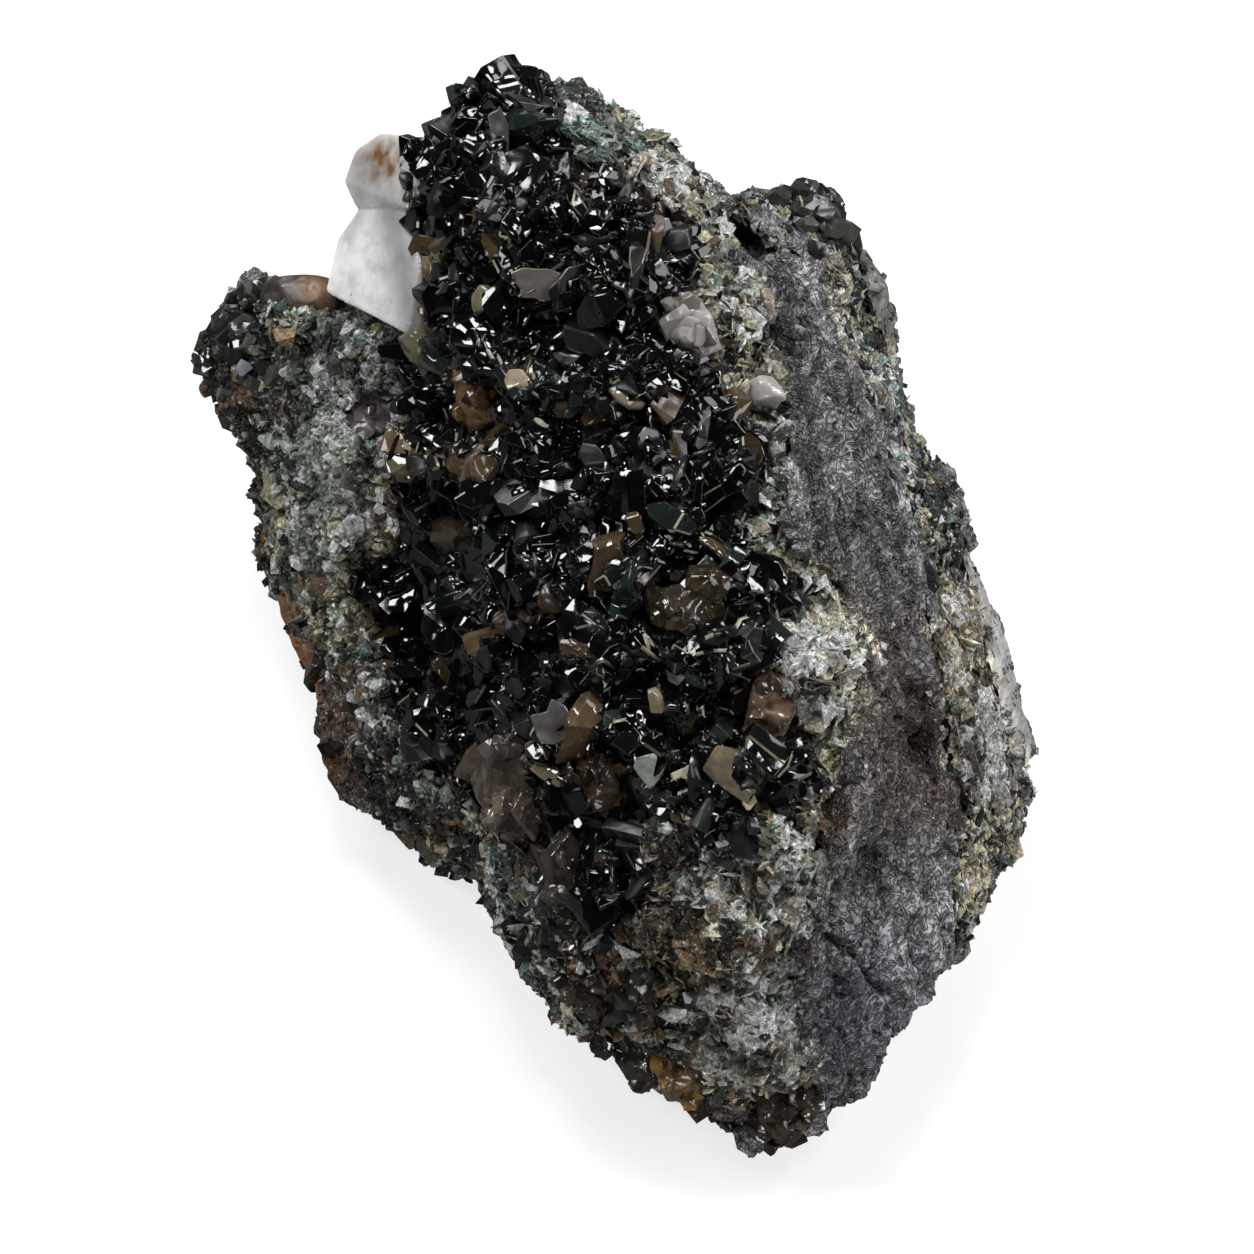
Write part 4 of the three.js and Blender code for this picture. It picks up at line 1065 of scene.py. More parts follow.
# %% Where each colour grows
crust_spots = {
    "sage": [
        (300, 400, 55, 9), (330, 480, 50, 9), (335, 560, 55, 9), (410, 760, 50, 3),
        (630, 130, 50, 2), (760, 480, 60, 2), (720, 1000, 60, 3), (560, 1010, 50, 3),
    ],
    "pale": [
        (320, 400, 45, 9), (345, 490, 45, 9), (400, 720, 35, 3), (670, 190, 35, 2.5),
        (720, 300, 40, 2), (710, 875, 35, 5), (740, 1030, 50, 5), (500, 870, 30, 3),
        (750, 1040, 40, 4),
    ],
    "black": [
        (225, 340, 45, 4), (410, 600, 60, 5), (715, 400, 45, 22), (650, 850, 36, 18),
        (800, 180, 40, 3),
    ],
    "brown": [
        (235, 400, 40, 20), (372, 592, 36, 14), (948, 715, 26, 10), (392, 520, 34, 8),
        (440, 820, 60, 4), (380, 640, 50, 3), (650, 190, 40, 2.5), (655, 850, 36, 18),
        (690, 950, 50, 26), (680, 1100, 60, 4), (590, 1040, 45, 4),
    ],
    "bottle": [
        (240, 450, 40, 12), (430, 810, 70, 7), (360, 830, 60, 4), (240, 370, 40, 3),
        (560, 120, 60, 4), (740, 470, 60, 3), (720, 800, 60, 4), (680, 955, 50, 3),
        (540, 920, 50, 3), (850, 230, 60, 4), (920, 500, 50, 3),
    ],
    "olive": [
        (262, 500, 34, 10), (360, 548, 32, 10), (325, 610, 32, 8), (395, 470, 34, 12),
        (430, 830, 40, 3), (720, 400, 60, 8), (775, 575, 34, 5), (800, 760, 60, 3),
        (650, 950, 50, 2), (800, 200, 60, 3), (990, 860, 40, 3),
    ],
    "tan": [(960, 660, 40, 20), (975, 870, 40, 4)],
    "grey": [
        (770, 235, 34, 8), (375, 390, 35, 12), (760, 960, 50, 3), (985, 620, 50, 5),
        (1000, 700, 40, 4),
    ],
    "teal": [(600, 110, 70, 4), (760, 690, 50, 2), (510, 850, 50, 3), (890, 420, 50, 3)],
    "cream": [
        (700, 320, 40, 3), (745, 380, 35, 2), (760, 635, 34, 6), (840, 660, 34, 6),
        (830, 700, 50, 3), (690, 770, 35, 3), (740, 888, 45, 9), (750, 1045, 45, 9),
        (970, 700, 55, 30), (975, 790, 45, 3), (810, 640, 34, 8),
    ],
    "rust": [(815, 830, 30, 3), (660, 1080, 35, 3), (600, 980, 35, 3), (950, 760, 30, 3)],
    "white": [(970, 740, 50, 30), (800, 672, 42, 14), (660, 190, 25, 3)],
}
crust_veins = [
    ("cream", [(640, 165), (690, 200), (692, 235), (705, 265)], 9, 6.0),
    (
        "cream",
        [(823, 252), (840, 310), (862, 375), (898, 459), (916, 520), (945, 580), (955, 640)],
        9,
        9.0,
    ),
    ("tan", [(935, 640), (960, 720), (975, 800), (972, 900)], 16, 5.0),
    ("olive", [(700, 270), (730, 340), (760, 400), (770, 460)], 22, 3.0),
    ("pale", [(650, 790), (662, 772), (700, 758)], 9, 4.0),
    ("pale", [(670, 880), (740, 890), (800, 860)], 16, 3.0),
    ("cream", [(745, 790), (765, 815)], 12, 4.0),
    ("pale", [(720, 1050), (770, 1050), (805, 1030)], 16, 3.0),
    ("black", [(640, 830), (680, 850), (740, 840)], 14, 3.0),
]
print(len(crust_spots), "colours have places of their own, and there are", len(crust_veins), "veins")

# %% Helpers: drawing a colour
CLUSTER_MM = 1.3
LUMP_MM = 2.4
PLACE_STRENGTH = 2.5


def cluster_draw(spots, random, share=0.55):
    """A random number for each grain, which most neighbours in a small cluster share."""
    bent = spots / CLUSTER_MM + np.column_stack([clouds(spots, 1.5, 2, seed) for seed in (5, 6, 7)])
    together = np.array([noise.cell(Vector(p)) for p in bent]) * 0.5 + 0.5
    return np.where(random.random(len(spots)) < share, together, random.random(len(spots)))


def painted_lump_shade(spots):
    """Painted shade and painted light in patches a lump wide: darker where hollows between lumps would
    be, lighter on lumps, alike for bed and grains.
    """
    return np.clip(1.2 + 2.2 * clouds(spots, LUMP_MM, 3, 25), 0.15, 2.3)


def colour_chances(plane, start_mix, places, veins=(), strength=1.0):
    """The chances of the colours of the palette for each point, each added to those before it."""
    chances = np.zeros((len(plane[0]), len(colour_names)))
    for name, value in start_mix.items():
        chances[:, colour_names.index(name)] = value
    for name, spots in places.items():
        for x, y, reach, value in spots:
            chances[:, colour_names.index(name)] += strength * value * near_pixel(plane, x, y, reach)
    for name, pixels, reach, value in veins:
        chances[:, colour_names.index(name)] += strength * value * near_line(plane, pixels, reach)
    return np.cumsum(chances / chances.sum(axis=1)[:, None], axis=1)


def drawn_from(chances, draws):
    """The number in the palette of the colour that each draw gives."""
    return np.minimum((draws[:, None] > chances).sum(axis=1), len(colour_names) - 1)


def drawn_colours(spots, start_mix, random, spread=0.28):
    """A colour for each grain, drawn from the palette by where it is."""
    chances = colour_chances(in_plane(spots), start_mix, crust_spots, crust_veins, PLACE_STRENGTH)
    tint = palette[drawn_from(chances, cluster_draw(spots, random))]
    # The lump factor is painted shade and painted light; the normal spread is random tone.
    return tint * (painted_lump_shade(spots) * np.exp(random.normal(0, spread, len(spots))))[:, None]


def with_roughness(tint, low, high, random):
    """The tint with a roughness for each crystal as its fourth number."""
    return np.column_stack([np.clip(tint, 0, 0.75), random.uniform(low, high, len(tint))])


# %% Crusts: colour of the mounds
crust_mix = {
    "crest_crust": {"teal": 1, "sage": 3, "pale": 2, "cream": 2, "olive": 2, "brown": 1, "bottle": 1.5},
    "left_crust": {"sage": 2, "pale": 0.8, "teal": 1.2, "brown": 0.6, "olive": 1, "bottle": 1},
    "right_crust": {"bottle": 2, "teal": 1.5, "olive": 1, "cream": 0.8, "grey": 2, "tan": 0.8},
}
for node, crust in crusts.items():
    random = np.random.default_rng(31)
    spots = points_of(crust.data)
    tint = drawn_colours(spots, crust_mix[node], random, 0.25) * 0.85
    # Painted shade and painted light: the bed is darker where its relief sinks and lighter where it
    # rises.
    tint *= np.clip(0.85 + 0.8 * crust_height[node], 0.3, 1.2)[:, None]
    tint = worn_tint(spots, tint, crust_bare[node])
    set_tint(crust.data, with_roughness(tint, 0.5, 0.8, random))
    finish_piece(crust, "green_crust", node)
    wear(crust, crust_bare[node], ironstone_finish)
    wear(crust, crust_smooth[node], worn_finish)
print(len(crust_mix), "crusts have their colours")

# %% [markdown]
# ## Grains on the crusts
# The grains are shells, flakes, beads and crumbs, most of them standing up from the mounds. On the
# right edge they lie along the bedding. Some have spilled over the border onto the rock, which
# hides the seam between the crust and the stone, and a thin dark crust runs down the left margin.
# Displacing the mounds finely would be lighter, but it gives no glint.

# %% Crusts: grains
grain_layers = [
    ("crest_crust", "shells", shells, 2800, 1.0, 0.45),
    ("crest_crust", "flakes", flakes, 3400, 0.66, 0.6),
    ("crest_crust", "grains", crumbs, 6500, 0.34, 0.6),
    ("left_crust", "beads", pebbles, 1500, 0.55, 0.4),
    ("left_crust", "flakes", flakes, 1600, 0.5, 0.5),
    ("left_crust", "grains", crumbs, 9000, 0.28, 0.5),
    ("right_crust", "shells", shells, 1500, 0.65, 0.05),
    ("right_crust", "flakes", flakes, 2600, 0.42, 0.1),
    ("right_crust", "grains", crumbs, 6000, 0.32, 0.2),
]
CREAM_EDGE = 0.55
RIGHT_EDGE_MM = 18
RIGHT_EDGE_PAINTED_LIGHT = 1.25


def grains_on(name, mesh, shapes, count, start_mix, size_mm, lean, seed, weight=None, along=None):
    """A mesh of small grains grown on a surface, coloured by where they are."""
    random = np.random.default_rng(seed)
    spots, facing, _ = surface_points(mesh, count, random, weight)
    tilt = np.abs(random.normal(lean, 0.35, count))
    frames = turned(facing, tilt, random) if along is None else laid(facing, along, tilt, random)
    height = size_mm * np.exp(random.normal(0, 0.35, count))
    width = height * random.uniform(0.8, 1.5, count) * (1.0 if along is None else 1.3)
    sizes = np.column_stack([width, height * random.uniform(0.6, 1.1, count), height])
    tint = drawn_colours(spots, start_mix, random, 0.3)
    # Painted light: grains near the right edge are made brighter, because that side turns away from the
    # light.
    tint *= np.where(spots[:, 0] > RIGHT_EDGE_MM, RIGHT_EDGE_PAINTED_LIGHT, 1.0)[:, None]
    edge = tint + CREAM_EDGE * np.maximum(np.array(mineral_colours["cream"]) - tint, 0)
    tint = with_roughness(tint, 0.12, 0.6, random)
    edge = with_roughness(edge, 0.2, 0.6, random)
    grains = joined_crystals(name, shapes, spots, frames, sizes, tint, edge, random)
    finish_piece(grains, "green_crust")


def crusted_side(spots, facing):
    """Keeps grains off the underside, the walls inside the lump and where the crust is worn."""
    plane = in_plane(spots)
    towards = facing @ viewer_axis
    chance = np.where(towards > -0.35, 1.0, 0.05)
    chance *= 1 - near_pixel(plane, 374, 412, 24)
    chance = np.where((plane[0] > 12) & (towards < 0.2), chance * 0.25, chance)
    return chance * np.where(bare(plane, facing), 0.02, 1.0)


for seed, (node, layer, shapes, count, size_mm, lean) in enumerate(grain_layers):
    name = node + "_" + layer
    along = bedding if node == "right_crust" else None
    where = (crusted_side, along)
    mesh = crusts[node].data
    grains_on(name, mesh, shapes, count, crust_mix[node], size_mm, lean, 40 + seed, *where)

# %% Grains spilled on the ironstone
near_crust = kdtree.KDTree(sum(len(c.data.vertices) for c in crusts.values()))
for crust in crusts.values():
    for spot in points_of(crust.data):
        near_crust.insert(spot, 0)
near_crust.balance()


def crust_distance(spots):
    """How far each point is from the nearest crust, in millimetres."""
    return np.array([near_crust.find(spot)[2] for spot in spots])


stone_gap = crust_distance(stone_points)
fringe = np.exp(-((stone_gap / 0.9) ** 2))
random = np.random.default_rng(51)
spilled = drawn_colours(stone_points, {"olive": 1, "sage": 1, "cream": 1, "brown": 1}, random, 0.2)
stone_tint += (spilled * 0.7 - stone_tint) * (fringe * 0.8)[:, None]
set_tint(stone.data, np.column_stack([np.clip(stone_tint, 0, 0.9), stone_rough]))
finish_piece(stone, "ironstone", "ironstone")
wear(stone, on_the_slab, worn_finish)


def on_the_fringe(spots, facing):
    """The border of the crusts, on the outside of the stone."""
    gap = crust_distance(spots)
    chance = np.exp(-((gap / 1.1) ** 2)) * np.where(spots[:, 2] > 1, 1, 0)
    return chance * np.where(bare(in_plane(spots), facing), 0.02, 1.0)


left_margin_line = [(205, 350), (222, 400), (245, 450), (268, 500), (290, 560)]


def facing_out(share, least=0.0, elsewhere=1e-9):
    """A weight from a share in the picture plane, on the side that faces out of the lump."""

    def weight(spots, facing):
        return share(in_plane(spots)) * (facing @ viewer_axis > least) + elsewhere

    return weight


on_the_left_margin = facing_out(lambda plane: near_line(plane, left_margin_line, 24), -0.1)
margin_mix = {"olive": 2, "bottle": 3, "brown": 2, "teal": 1, "black": 2, "sage": 1}
small_shapes = flakes + crumbs
grains_on(
    "left_margin_grains", stone.data, small_shapes, 1500, margin_mix, 0.5, 0.6, 53, on_the_left_margin
)

spill_mix = {"olive": 1, "sage": 1, "cream": 1, "brown": 1, "grey": 1}
grains_on(
    "spilled_grains", stone.data, small_shapes, 3400, spill_mix, 0.36, 0.5, 52, on_the_fringe
)

# %% [markdown]
# ## Chips on the broken stone
# A fresh break in ironstone is rough with chips a few tenths of a millimetre long that lie along
# the bedding. They are small pieces laid on the surface, in the colour of the stone under them.
# A bump in the finish alone would leave the stone's outline smooth.

# %% Stone: chips
CHIP_MM = 0.26


def outside_of_stone(spots, facing):
    """The stone's outer surface, most of all what faces up."""
    return np.where(spots[:, 2] > 0.8, np.clip(facing @ viewer_axis + 0.5, 0.12, 1), 0)


def chips_on_stone(name, count, seed):
    """A mesh of small chips in the colours of the stone."""
    random = np.random.default_rng(seed)
    spots, facing, under = surface_points(stone.data, count, random, outside_of_stone)
    frames = laid(facing, bedding, np.abs(random.normal(0, 0.35, count)), random)
    width = CHIP_MM * np.exp(random.normal(0, 0.4, count)) * 1.3
    sizes = np.column_stack([width, width * random.uniform(0.4, 0.8, count), width * 0.5])
    tint = stone_tint[under] * np.exp(random.normal(0, 0.25, count))[:, None]
    tint = with_roughness(tint, 0.45, 0.8, random)
    finish_piece(joined_crystals(name, crumbs, spots, frames, sizes, tint, tint, random), "ironstone")


chips_on_stone("ironstone_chips", 5500, 55)

# %% [markdown]
# ## The druse
# Kulanite grows as thin blades with chisel ends, in sheaves and rosettes. It is so dark a green
# that it looks black, but a thin edge lets light through and looks olive or cream. So some bevels
# of each blade have a colour of their own. The model's blades are kept, with their edges beveled,
# and four kinds of smaller crystals are grown over them. Some forty broad plates are placed one by
# one: bright ones, turned so that they mirror a softbox to the viewer, and dull brownish ones.

# %% Druse: bed
BED_EDGE_MM = 0.07
bed = merged_copy("kulanite_druse", "kulanite_druse_bed")
edges = bed.modifiers.new("edges", "BEVEL")
edges.width = BED_EDGE_MM * MM
edges.segments = 1
edges.limit_method = "ANGLE"
edges.angle_limit = math.radians(25)
apply_modifiers(bed)
bed.data.shade_flat()
random = np.random.default_rng(61)
bed_points = points_of(bed.data)
bed_tint = np.tile(np.array(mineral_colours["black"]), (len(bed_points), 1))
bed_tint *= (0.35 + 0.3 * clouds(bed_points, 3.0, 2, 62))[:, None]
set_tint(bed.data, with_roughness(bed_tint, 0.1, 0.22, random))
finish_piece(bed, "kulanite", "kulanite_druse")
print("the bed has", len(bed.data.polygons), "faces")

# %% Druse: colours
druse_mix = {"black": 16, "bottle": 2, "olive": 0.08, "brown": 0.5, "tan": 0.02}
druse_spots = {
    "brown": [
        (455, 425, 50, 5), (480, 505, 50, 4), (400, 640, 40, 6), (435, 270, 40, 5),
        (520, 700, 60, 1), (600, 790, 60, 3), (550, 660, 60, 3), (620, 830, 40, 4),
        (660, 600, 45, 1.5), (520, 560, 80, 1.2), (620, 740, 80, 1),
    ],
    "olive": [(440, 480, 36, 2), (435, 300, 40, 4), (430, 420, 40, 2), (600, 640, 60, 0.8)],
    "tan": [
        (415, 215, 20, 9), (600, 835, 30, 0.6), (620, 760, 90, 0.7), (520, 440, 50, 0.5),
        (560, 800, 40, 1),
    ],
    "bottle": [(640, 640, 50, 8), (700, 800, 50, 9), (590, 620, 30, 4)],
    "teal": [(690, 650, 40, 0.8)],
    # Painted shade: the strong black places darken the deep hollow, which the bed is too shallow to
    # shade.
    "black": [(440, 580, 45, 60), (450, 660, 45, 60)],
    "sage": [(700, 770, 30, 3)],
}
rim_colours = [colour(*c) for c in ((150, 144, 124), (104, 96, 78), (64, 60, 50), (30, 32, 30))]
RIM_SHARES = [0.16, 0.26, 0.28, 0.30]
COLOURED_SHARE = 0.7
DULL_SHARE = 0.15


def druse_tints(spots, random):
    """The colours of the blades and of their thin edges."""
    chances = colour_chances(in_plane(spots), druse_mix, druse_spots)
    pick = drawn_from(chances, random.random(len(spots)))
    tint = palette[pick]
    tint *= np.exp(random.normal(-0.15, 0.35, len(spots)))[:, None]
    tint[pick > 1] *= COLOURED_SHARE
    rims = np.array(rim_colours)[random.choice(len(rim_colours), len(spots), p=RIM_SHARES)]
    glossy = with_roughness(tint, 0.03, 0.12, random)
    dull = random.random(len(spots)) < DULL_SHARE
    glossy[dull, 3] = random.uniform(0.25, 0.45, dull.sum())
    return glossy, with_roughness(rims, 0.15, 0.35, random)


print("the druse has", len(druse_spots), "colours in places of their own")

# %% Druse: broad plates that catch the eye
bright_plates = [
    (425, 172, 2, 1.5, 15, "left"), (522, 178, 2.6, 0.9, 50, "above"),
    (555, 206, 1, 1.3, 80, "above"), (598, 234, 0.9, 1.3, 60, "above"),
    (685, 237, 0.9, 1.1, 10, "right"), (522, 127, 0.8, 1, 70, "window"),
    (657, 549, 1.3, 0.5, 30, "above"), (615, 562, 1.1, 0.6, -10, "above"),
    (577, 554, 1.1, 0.4, -40, "left"), (488, 522, 0.5, 1.1, 0, "left"),
    (624, 518, 0.9, 0.4, 20, "right"), (507, 599, 0.9, 0.5, 10, "left"),
    (617, 655, 1.4, 0.4, 30, "right"), (640, 715, 0.6, 1.2, 10, "above"),
    (402, 598, 2.1, 1.6, 10, "left"), (505, 262, 0.9, 2.2, 15, "window"),
    (560, 545, 0.9, 0.4, -30, "behind"), (670, 705, 1.2, 0.5, 10, "behind"),
    (590, 745, 0.7, 0.5, 60, "above"), (234, 343, 1.7, 0.7, 5, "left"),
    (563, 775, 0.9, 0.6, 30, "above"), (578, 822, 0.8, 0.9, 0, "left"),
    (635, 870, 0.6, 1.1, 20, "above"), (597, 985, 0.9, 0.7, 20, "left"),
    (573, 945, 0.7, 0.5, 20, "above"), (690, 545, 0.9, 0.4, -20, "right"),
    (755, 690, 0.9, 1, 20, "right"),
]
dull_plates = [
    (540, 288, 3.3, 2.9, 0, (66, 61, 55)), (499, 130, 1.4, 3.3, 10, (44, 44, 44)),
    (420, 108, 2.2, 1.9, 30, (36, 34, 32)), (555, 720, 3, 2.4, 10, (58, 55, 53)),
    (415, 285, 1.6, 2, 0, (84, 70, 56)), (520, 62, 1.4, 1.6, 20, (34, 36, 36)),
    (522, 434, 2.2, 0.6, 35, (186, 180, 158)), (541, 424, 1.3, 0.5, -25, (190, 184, 164)),
    (478, 402, 1.7, 2.4, 10, (112, 86, 54)), (241, 366, 1.3, 1.3, 10, (96, 102, 112)),
    (708, 330, 0.8, 1.6, 10, (150, 140, 112)), (665, 605, 3.6, 1.2, 10, (104, 92, 70)),
    (747, 797, 1.1, 1.6, 10, (170, 160, 132)), (683, 772, 2, 1, 20, (178, 172, 150)),
]
print(len(bright_plates), "bright and", len(dull_plates), "dull plates are listed")

# %% Druse: where the blades stand
BLADE_SINK = 0.2
STANDING_SHARE = 0.8


def blades_on(name, shapes, count, size_mm, spread, thin, soft, seed, weight=None):
    """A mesh of kulanite crystals grown on the druse."""
    random = np.random.default_rng(seed)
    spots, facing, _ = surface_points(bed.data, count, random, weight)
    standing = random.random(count) < STANDING_SHARE
    tilt = np.where(standing, random.uniform(0.15, 0.8, count), random.uniform(0.8, 1.45, count))
    frames = turned(facing, tilt, random)
    height = size_mm * np.exp(np.clip(random.normal(0, spread, count), -0.6, 0.35))
    sizes = np.column_stack(
        [height * random.uniform(0.7, 1.2, count), height * random.uniform(*thin, count), height]
    )
    spots -= facing * (BLADE_SINK * height)[:, None]
    body, rims = druse_tints(spots, random)
    piece = joined_crystals(name, shapes, spots, frames, sizes, body, rims, random, soft)
    finish_piece(piece, "kulanite")


def nearest_gap(trees, spots):
    """How far each point is from the nearest of some surfaces, in millimetres."""
    return np.array([min(tree.find_nearest(Vector(s) * MM)[3] for tree in trees) / MM for s in spots])


def tree_of(piece):
    """The surface of a piece, ready to be searched."""
    return BVHTree.FromObject(piece, bpy.context.evaluated_depsgraph_get())


column_line = [(412, 205), (424, 250), (440, 300), (436, 335)]
hollow_line = [(385, 440), (420, 430), (465, 520), (490, 620), (480, 720), (420, 700), (385, 620)]
head_crust_line = [(510, 40), (545, 100), (560, 150), (600, 185), (655, 215), (690, 260), (760, 200)]
big_crystals = [
    tree_of(piece)
    for name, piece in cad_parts.items()
    if name.startswith(("siderite", "quartz"))
]


def druse_front(spots, facing):
    """The side of the druse that faces out of the hollow, away from other minerals."""
    chance = np.where(facing @ viewer_axis > -0.2, 1.0, 0.03)
    plane = in_plane(spots)
    chance[inside(plane, head_crust_line)] *= 0.03
    chance[inside(plane, hollow_line)] *= 0.10
    chance *= 1 - 0.85 * near_line(plane, column_line, 15)
    chance *= 1 - 0.9 * near_pixel(plane, 508, 60, 20)
    chance *= np.clip((nearest_gap(big_crystals, spots) - 1.2) / 0.8, 0.01, 1)
    for x, y, *_ in bright_plates + dull_plates:
        chance *= 1 - 0.97 * near_pixel(plane, x, y, 21)
    return chance * np.clip(0.6 + 1.6 * clouds(spots, 3.0, 2, 66), 0.06, 1.5)


print(len(big_crystals), "big crystals stay clear of blades")

# %% Druse: blades
blade_sizes = [
    ("kulanite_blades", blades + plates, 1000, 2.7, 0.3, (0.9, 1.6), False),
    ("kulanite_bent_plates", curls, 1300, 2.5, 0.3, (0.8, 1.2), True),
    ("kulanite_short_crystals", blocks + lumps, 1500, 1.75, 0.3, (0.7, 1.2), True),
    ("kulanite_small_crystals", splinters + crumbs, 1500, 0.8, 0.4, (0.6, 1.2), False),
]
for seed, (name, shapes, count, size_mm, spread, thin, soft) in enumerate(blade_sizes):
    blades_on(name, shapes, count, size_mm, spread, thin, soft, 71 + seed, druse_front)

# %% Druse: the broad plates
FAR_MM = 200
PLATE_STANDS_MM = 1.5
BRIGHT_ROUGH = 0.06
DULL_ROUGH = 0.4
DULL_LEAN = Vector((0.12, 0.1, 0.1))


def seen_at(trees, x, y):
    """The point of some surfaces that is seen at a pixel, in millimetres."""
    right, up = from_pixels(x, y)
    start = Vector((right + PLANE_SHIFT_MM[0], 0, 0)) + picture_up * (up + PLANE_SHIFT_MM[1])
    start = (start + to_viewer * FAR_MM) * MM
    hits = [tree.ray_cast(start, -to_viewer) for tree in trees]
    hits = [hit for hit in hits if hit[0] is not None]
    if not hits:
        beside = start - to_viewer * (FAR_MM - MIDDLE_DEPTH_MM) * MM
        hits = [tree.find_nearest(beside) for tree in trees]
    return min(hits, key=lambda hit: hit[3])[0] / MM


def plate_frame(normal, turn):
    """A frame whose up is the normal, turned round it by degrees from level."""
    level = (Vector((1, 0, 0)) - normal * normal.x).normalized()
    across = normal.cross(level)
    angle = math.radians(turn)
    right = level * math.cos(angle) + across * math.sin(angle)
    return np.column_stack([right, normal.cross(right), normal])


body_trees = [tree_of(bed)] + [tree_of(crust) for crust in crusts.values()]


def plates_piece(name, shapes, rows, seed):
    """A mesh of broad plates, each given as its place, frame, size and tint."""
    spots, frames, sizes, tints = (np.array(column) for column in zip(*rows))
    rims = np.column_stack([np.tile(rim_colours[1], (len(tints), 1)), np.full(len(tints), 0.3)])
    random = np.random.default_rng(seed)
    plates = joined_crystals(name, shapes, spots, frames, sizes, tints, rims, random)
    finish_piece(plates, "kulanite")


rows = []
for x, y, width, height, turn, box in bright_plates:
    spot = seen_at(body_trees, x, y) + to_viewer * PLATE_STANDS_MM
    to_box = (Vector(softboxes[box][0]) - spot * MM).normalized()
    turn_frame = plate_frame((to_box + to_viewer).normalized(), turn)
    rows.append((spot, turn_frame, (width, height, 1.0), (*mineral_colours["black"], BRIGHT_ROUGH)))
plates_piece("kulanite_bright_plates", bright_shapes, rows, 77)
rows = []
for x, y, width, height, turn, tone in dull_plates:
    spot = seen_at(body_trees, x, y) + to_viewer * PLATE_STANDS_MM
    turn_frame = plate_frame((to_viewer + DULL_LEAN).normalized(), turn)
    rows.append((spot, turn_frame, (width, height, 1.2), (*colour(*tone), DULL_ROUGH)))
plates_piece("kulanite_dull_plates", dull_shapes, rows, 78)

# %% [markdown]
# ## Siderite
# The brown crystals are blunt, with a resinous shine and paler edges. Each solid of the model is
# remeshed very finely and its edges worn, which keeps the flat faces and rounds the corners. The
# wedge by the quartz is rounded more, because it is a worn knob. Each crystal then gets a cluster
# of small ones, and more stand among the blades, on the crusts and on the rusty stone.

# %% Siderite: colours
siderite_tones = colours(
    siderite_wedge=(64, 50, 38), siderite_upper_druse=(94, 72, 47),
    siderite_lower_left=(72, 64, 56), siderite_lower_druse=(50, 46, 42),
    siderite_on_crest=(92, 76, 60), siderite_mid_druse=(62, 50, 38),
    siderite_amber_foot=(110, 84, 48), siderite_dark_foot=(44, 42, 36),
    siderite_left_lobe=(92, 86, 86), siderite_right_druse=(58, 50, 38), siderite_nose=(62, 54, 45),
    siderite_bottom=(56, 47, 38),
)
wedge_tones_and_sheen = colours(amber=(122, 84, 44), dark=(40, 34, 30), grey=(150, 148, 150))
print(len(siderite_tones), "large siderite crystals have a colour")

# %% Siderite: the large crystals
SIDERITE_VOXEL_MM = 0.14
CRYSTAL_SMOOTHING = 3
WEDGE_SMOOTHING = 40
WEDGE_ROUNDING = 0.55
WEDGE_DULLER = 0.22
siderite_bodies = {}
for order, (node, tone) in enumerate(sorted(siderite_tones.items())):
    smoothing = WEDGE_SMOOTHING if node == "siderite_wedge" else CRYSTAL_SMOOTHING
    crystal = remeshed(node, node + "_crystal", SIDERITE_VOXEL_MM, smoothing)
    siderite_bodies[node] = crystal
    spots = points_of(crystal.data)
    facing = normals_of(crystal.data)
    push = 0.10 + 0.08 * clouds(spots, 1.8, 2, 80 + order) + 0.015 * clouds(spots, 0.6, 2, 81)
    spots += facing * push[:, None]
    tint = np.tile(np.array(tone), (len(spots), 1))
    tint *= np.exp(0.5 * clouds(spots, 1.2, 3, 90 + order))[:, None]
    if node == "siderite_wedge":
        middle, half = (spots.max(axis=0) + spots.min(axis=0)) / 2, np.ptp(spots, axis=0) / 2
        out = (spots - middle) / half
        far = np.maximum(np.linalg.norm(out, axis=1), 0.3)[:, None]
        spots = middle + half * out / np.maximum(far, 1) ** WEDGE_ROUNDING
        plane = in_plane(spots)
        mix(tint, wedge_tones_and_sheen, "amber", 0.8 * near_pixel(plane, 312, 290, 15))
        mix(tint, wedge_tones_and_sheen, "dark", 1.2 * near_pixel(plane, 268, 296, 16))
        # Painted highlight: the small grey patch on top of the wedge stands for a softbox seen in its
        # shine.
        mix(tint, wedge_tones_and_sheen, "grey", 0.4 * near_pixel(plane, 286, 284, 7))
    set_points(crystal.data, spots)
    rough = np.clip(0.20 + 0.2 * clouds(spots, 0.9, 2, 95), 0.1, 0.4)
    rough += WEDGE_DULLER if node == "siderite_wedge" else 0
    set_tint(crystal.data, np.column_stack([np.clip(tint, 0, 0.9), rough]))
    finish_piece(crystal, "siderite", node)

# %% Siderite: places of the small crystals
siderite_spots = [
    (425, 225, 22, 3), (435, 275, 26, 4), (430, 320, 24, 3.5), (475, 400, 28, 1.5),
    (500, 430, 20, 1), (530, 540, 24, 0.8), (630, 198, 30, 3), (520, 700, 34, 1.2),
    (600, 780, 34, 1.2), (590, 860, 26, 1), (660, 600, 34, 0.8), (700, 620, 26, 0.8),
    (640, 775, 22, 1), (770, 700, 22, 0.8), (600, 990, 34, 2), (570, 950, 24, 1.2),
    (640, 1040, 30, 1.5), (680, 1110, 34, 2), (755, 1125, 34, 4), (340, 700, 24, 1),
    (345, 760, 24, 1), (240, 300, 26, 1), (215, 340, 22, 0.8),
]
coarse_spots = [
    (222, 325, 30, 3), (245, 300, 22, 2), (232, 370, 26, 2), (820, 185, 30, 1.5),
    (650, 1000, 40, 1), (560, 930, 30, 1), (450, 830, 40, 0.6), (730, 820, 34, 1.2),
    (790, 790, 24, 0.8),
]
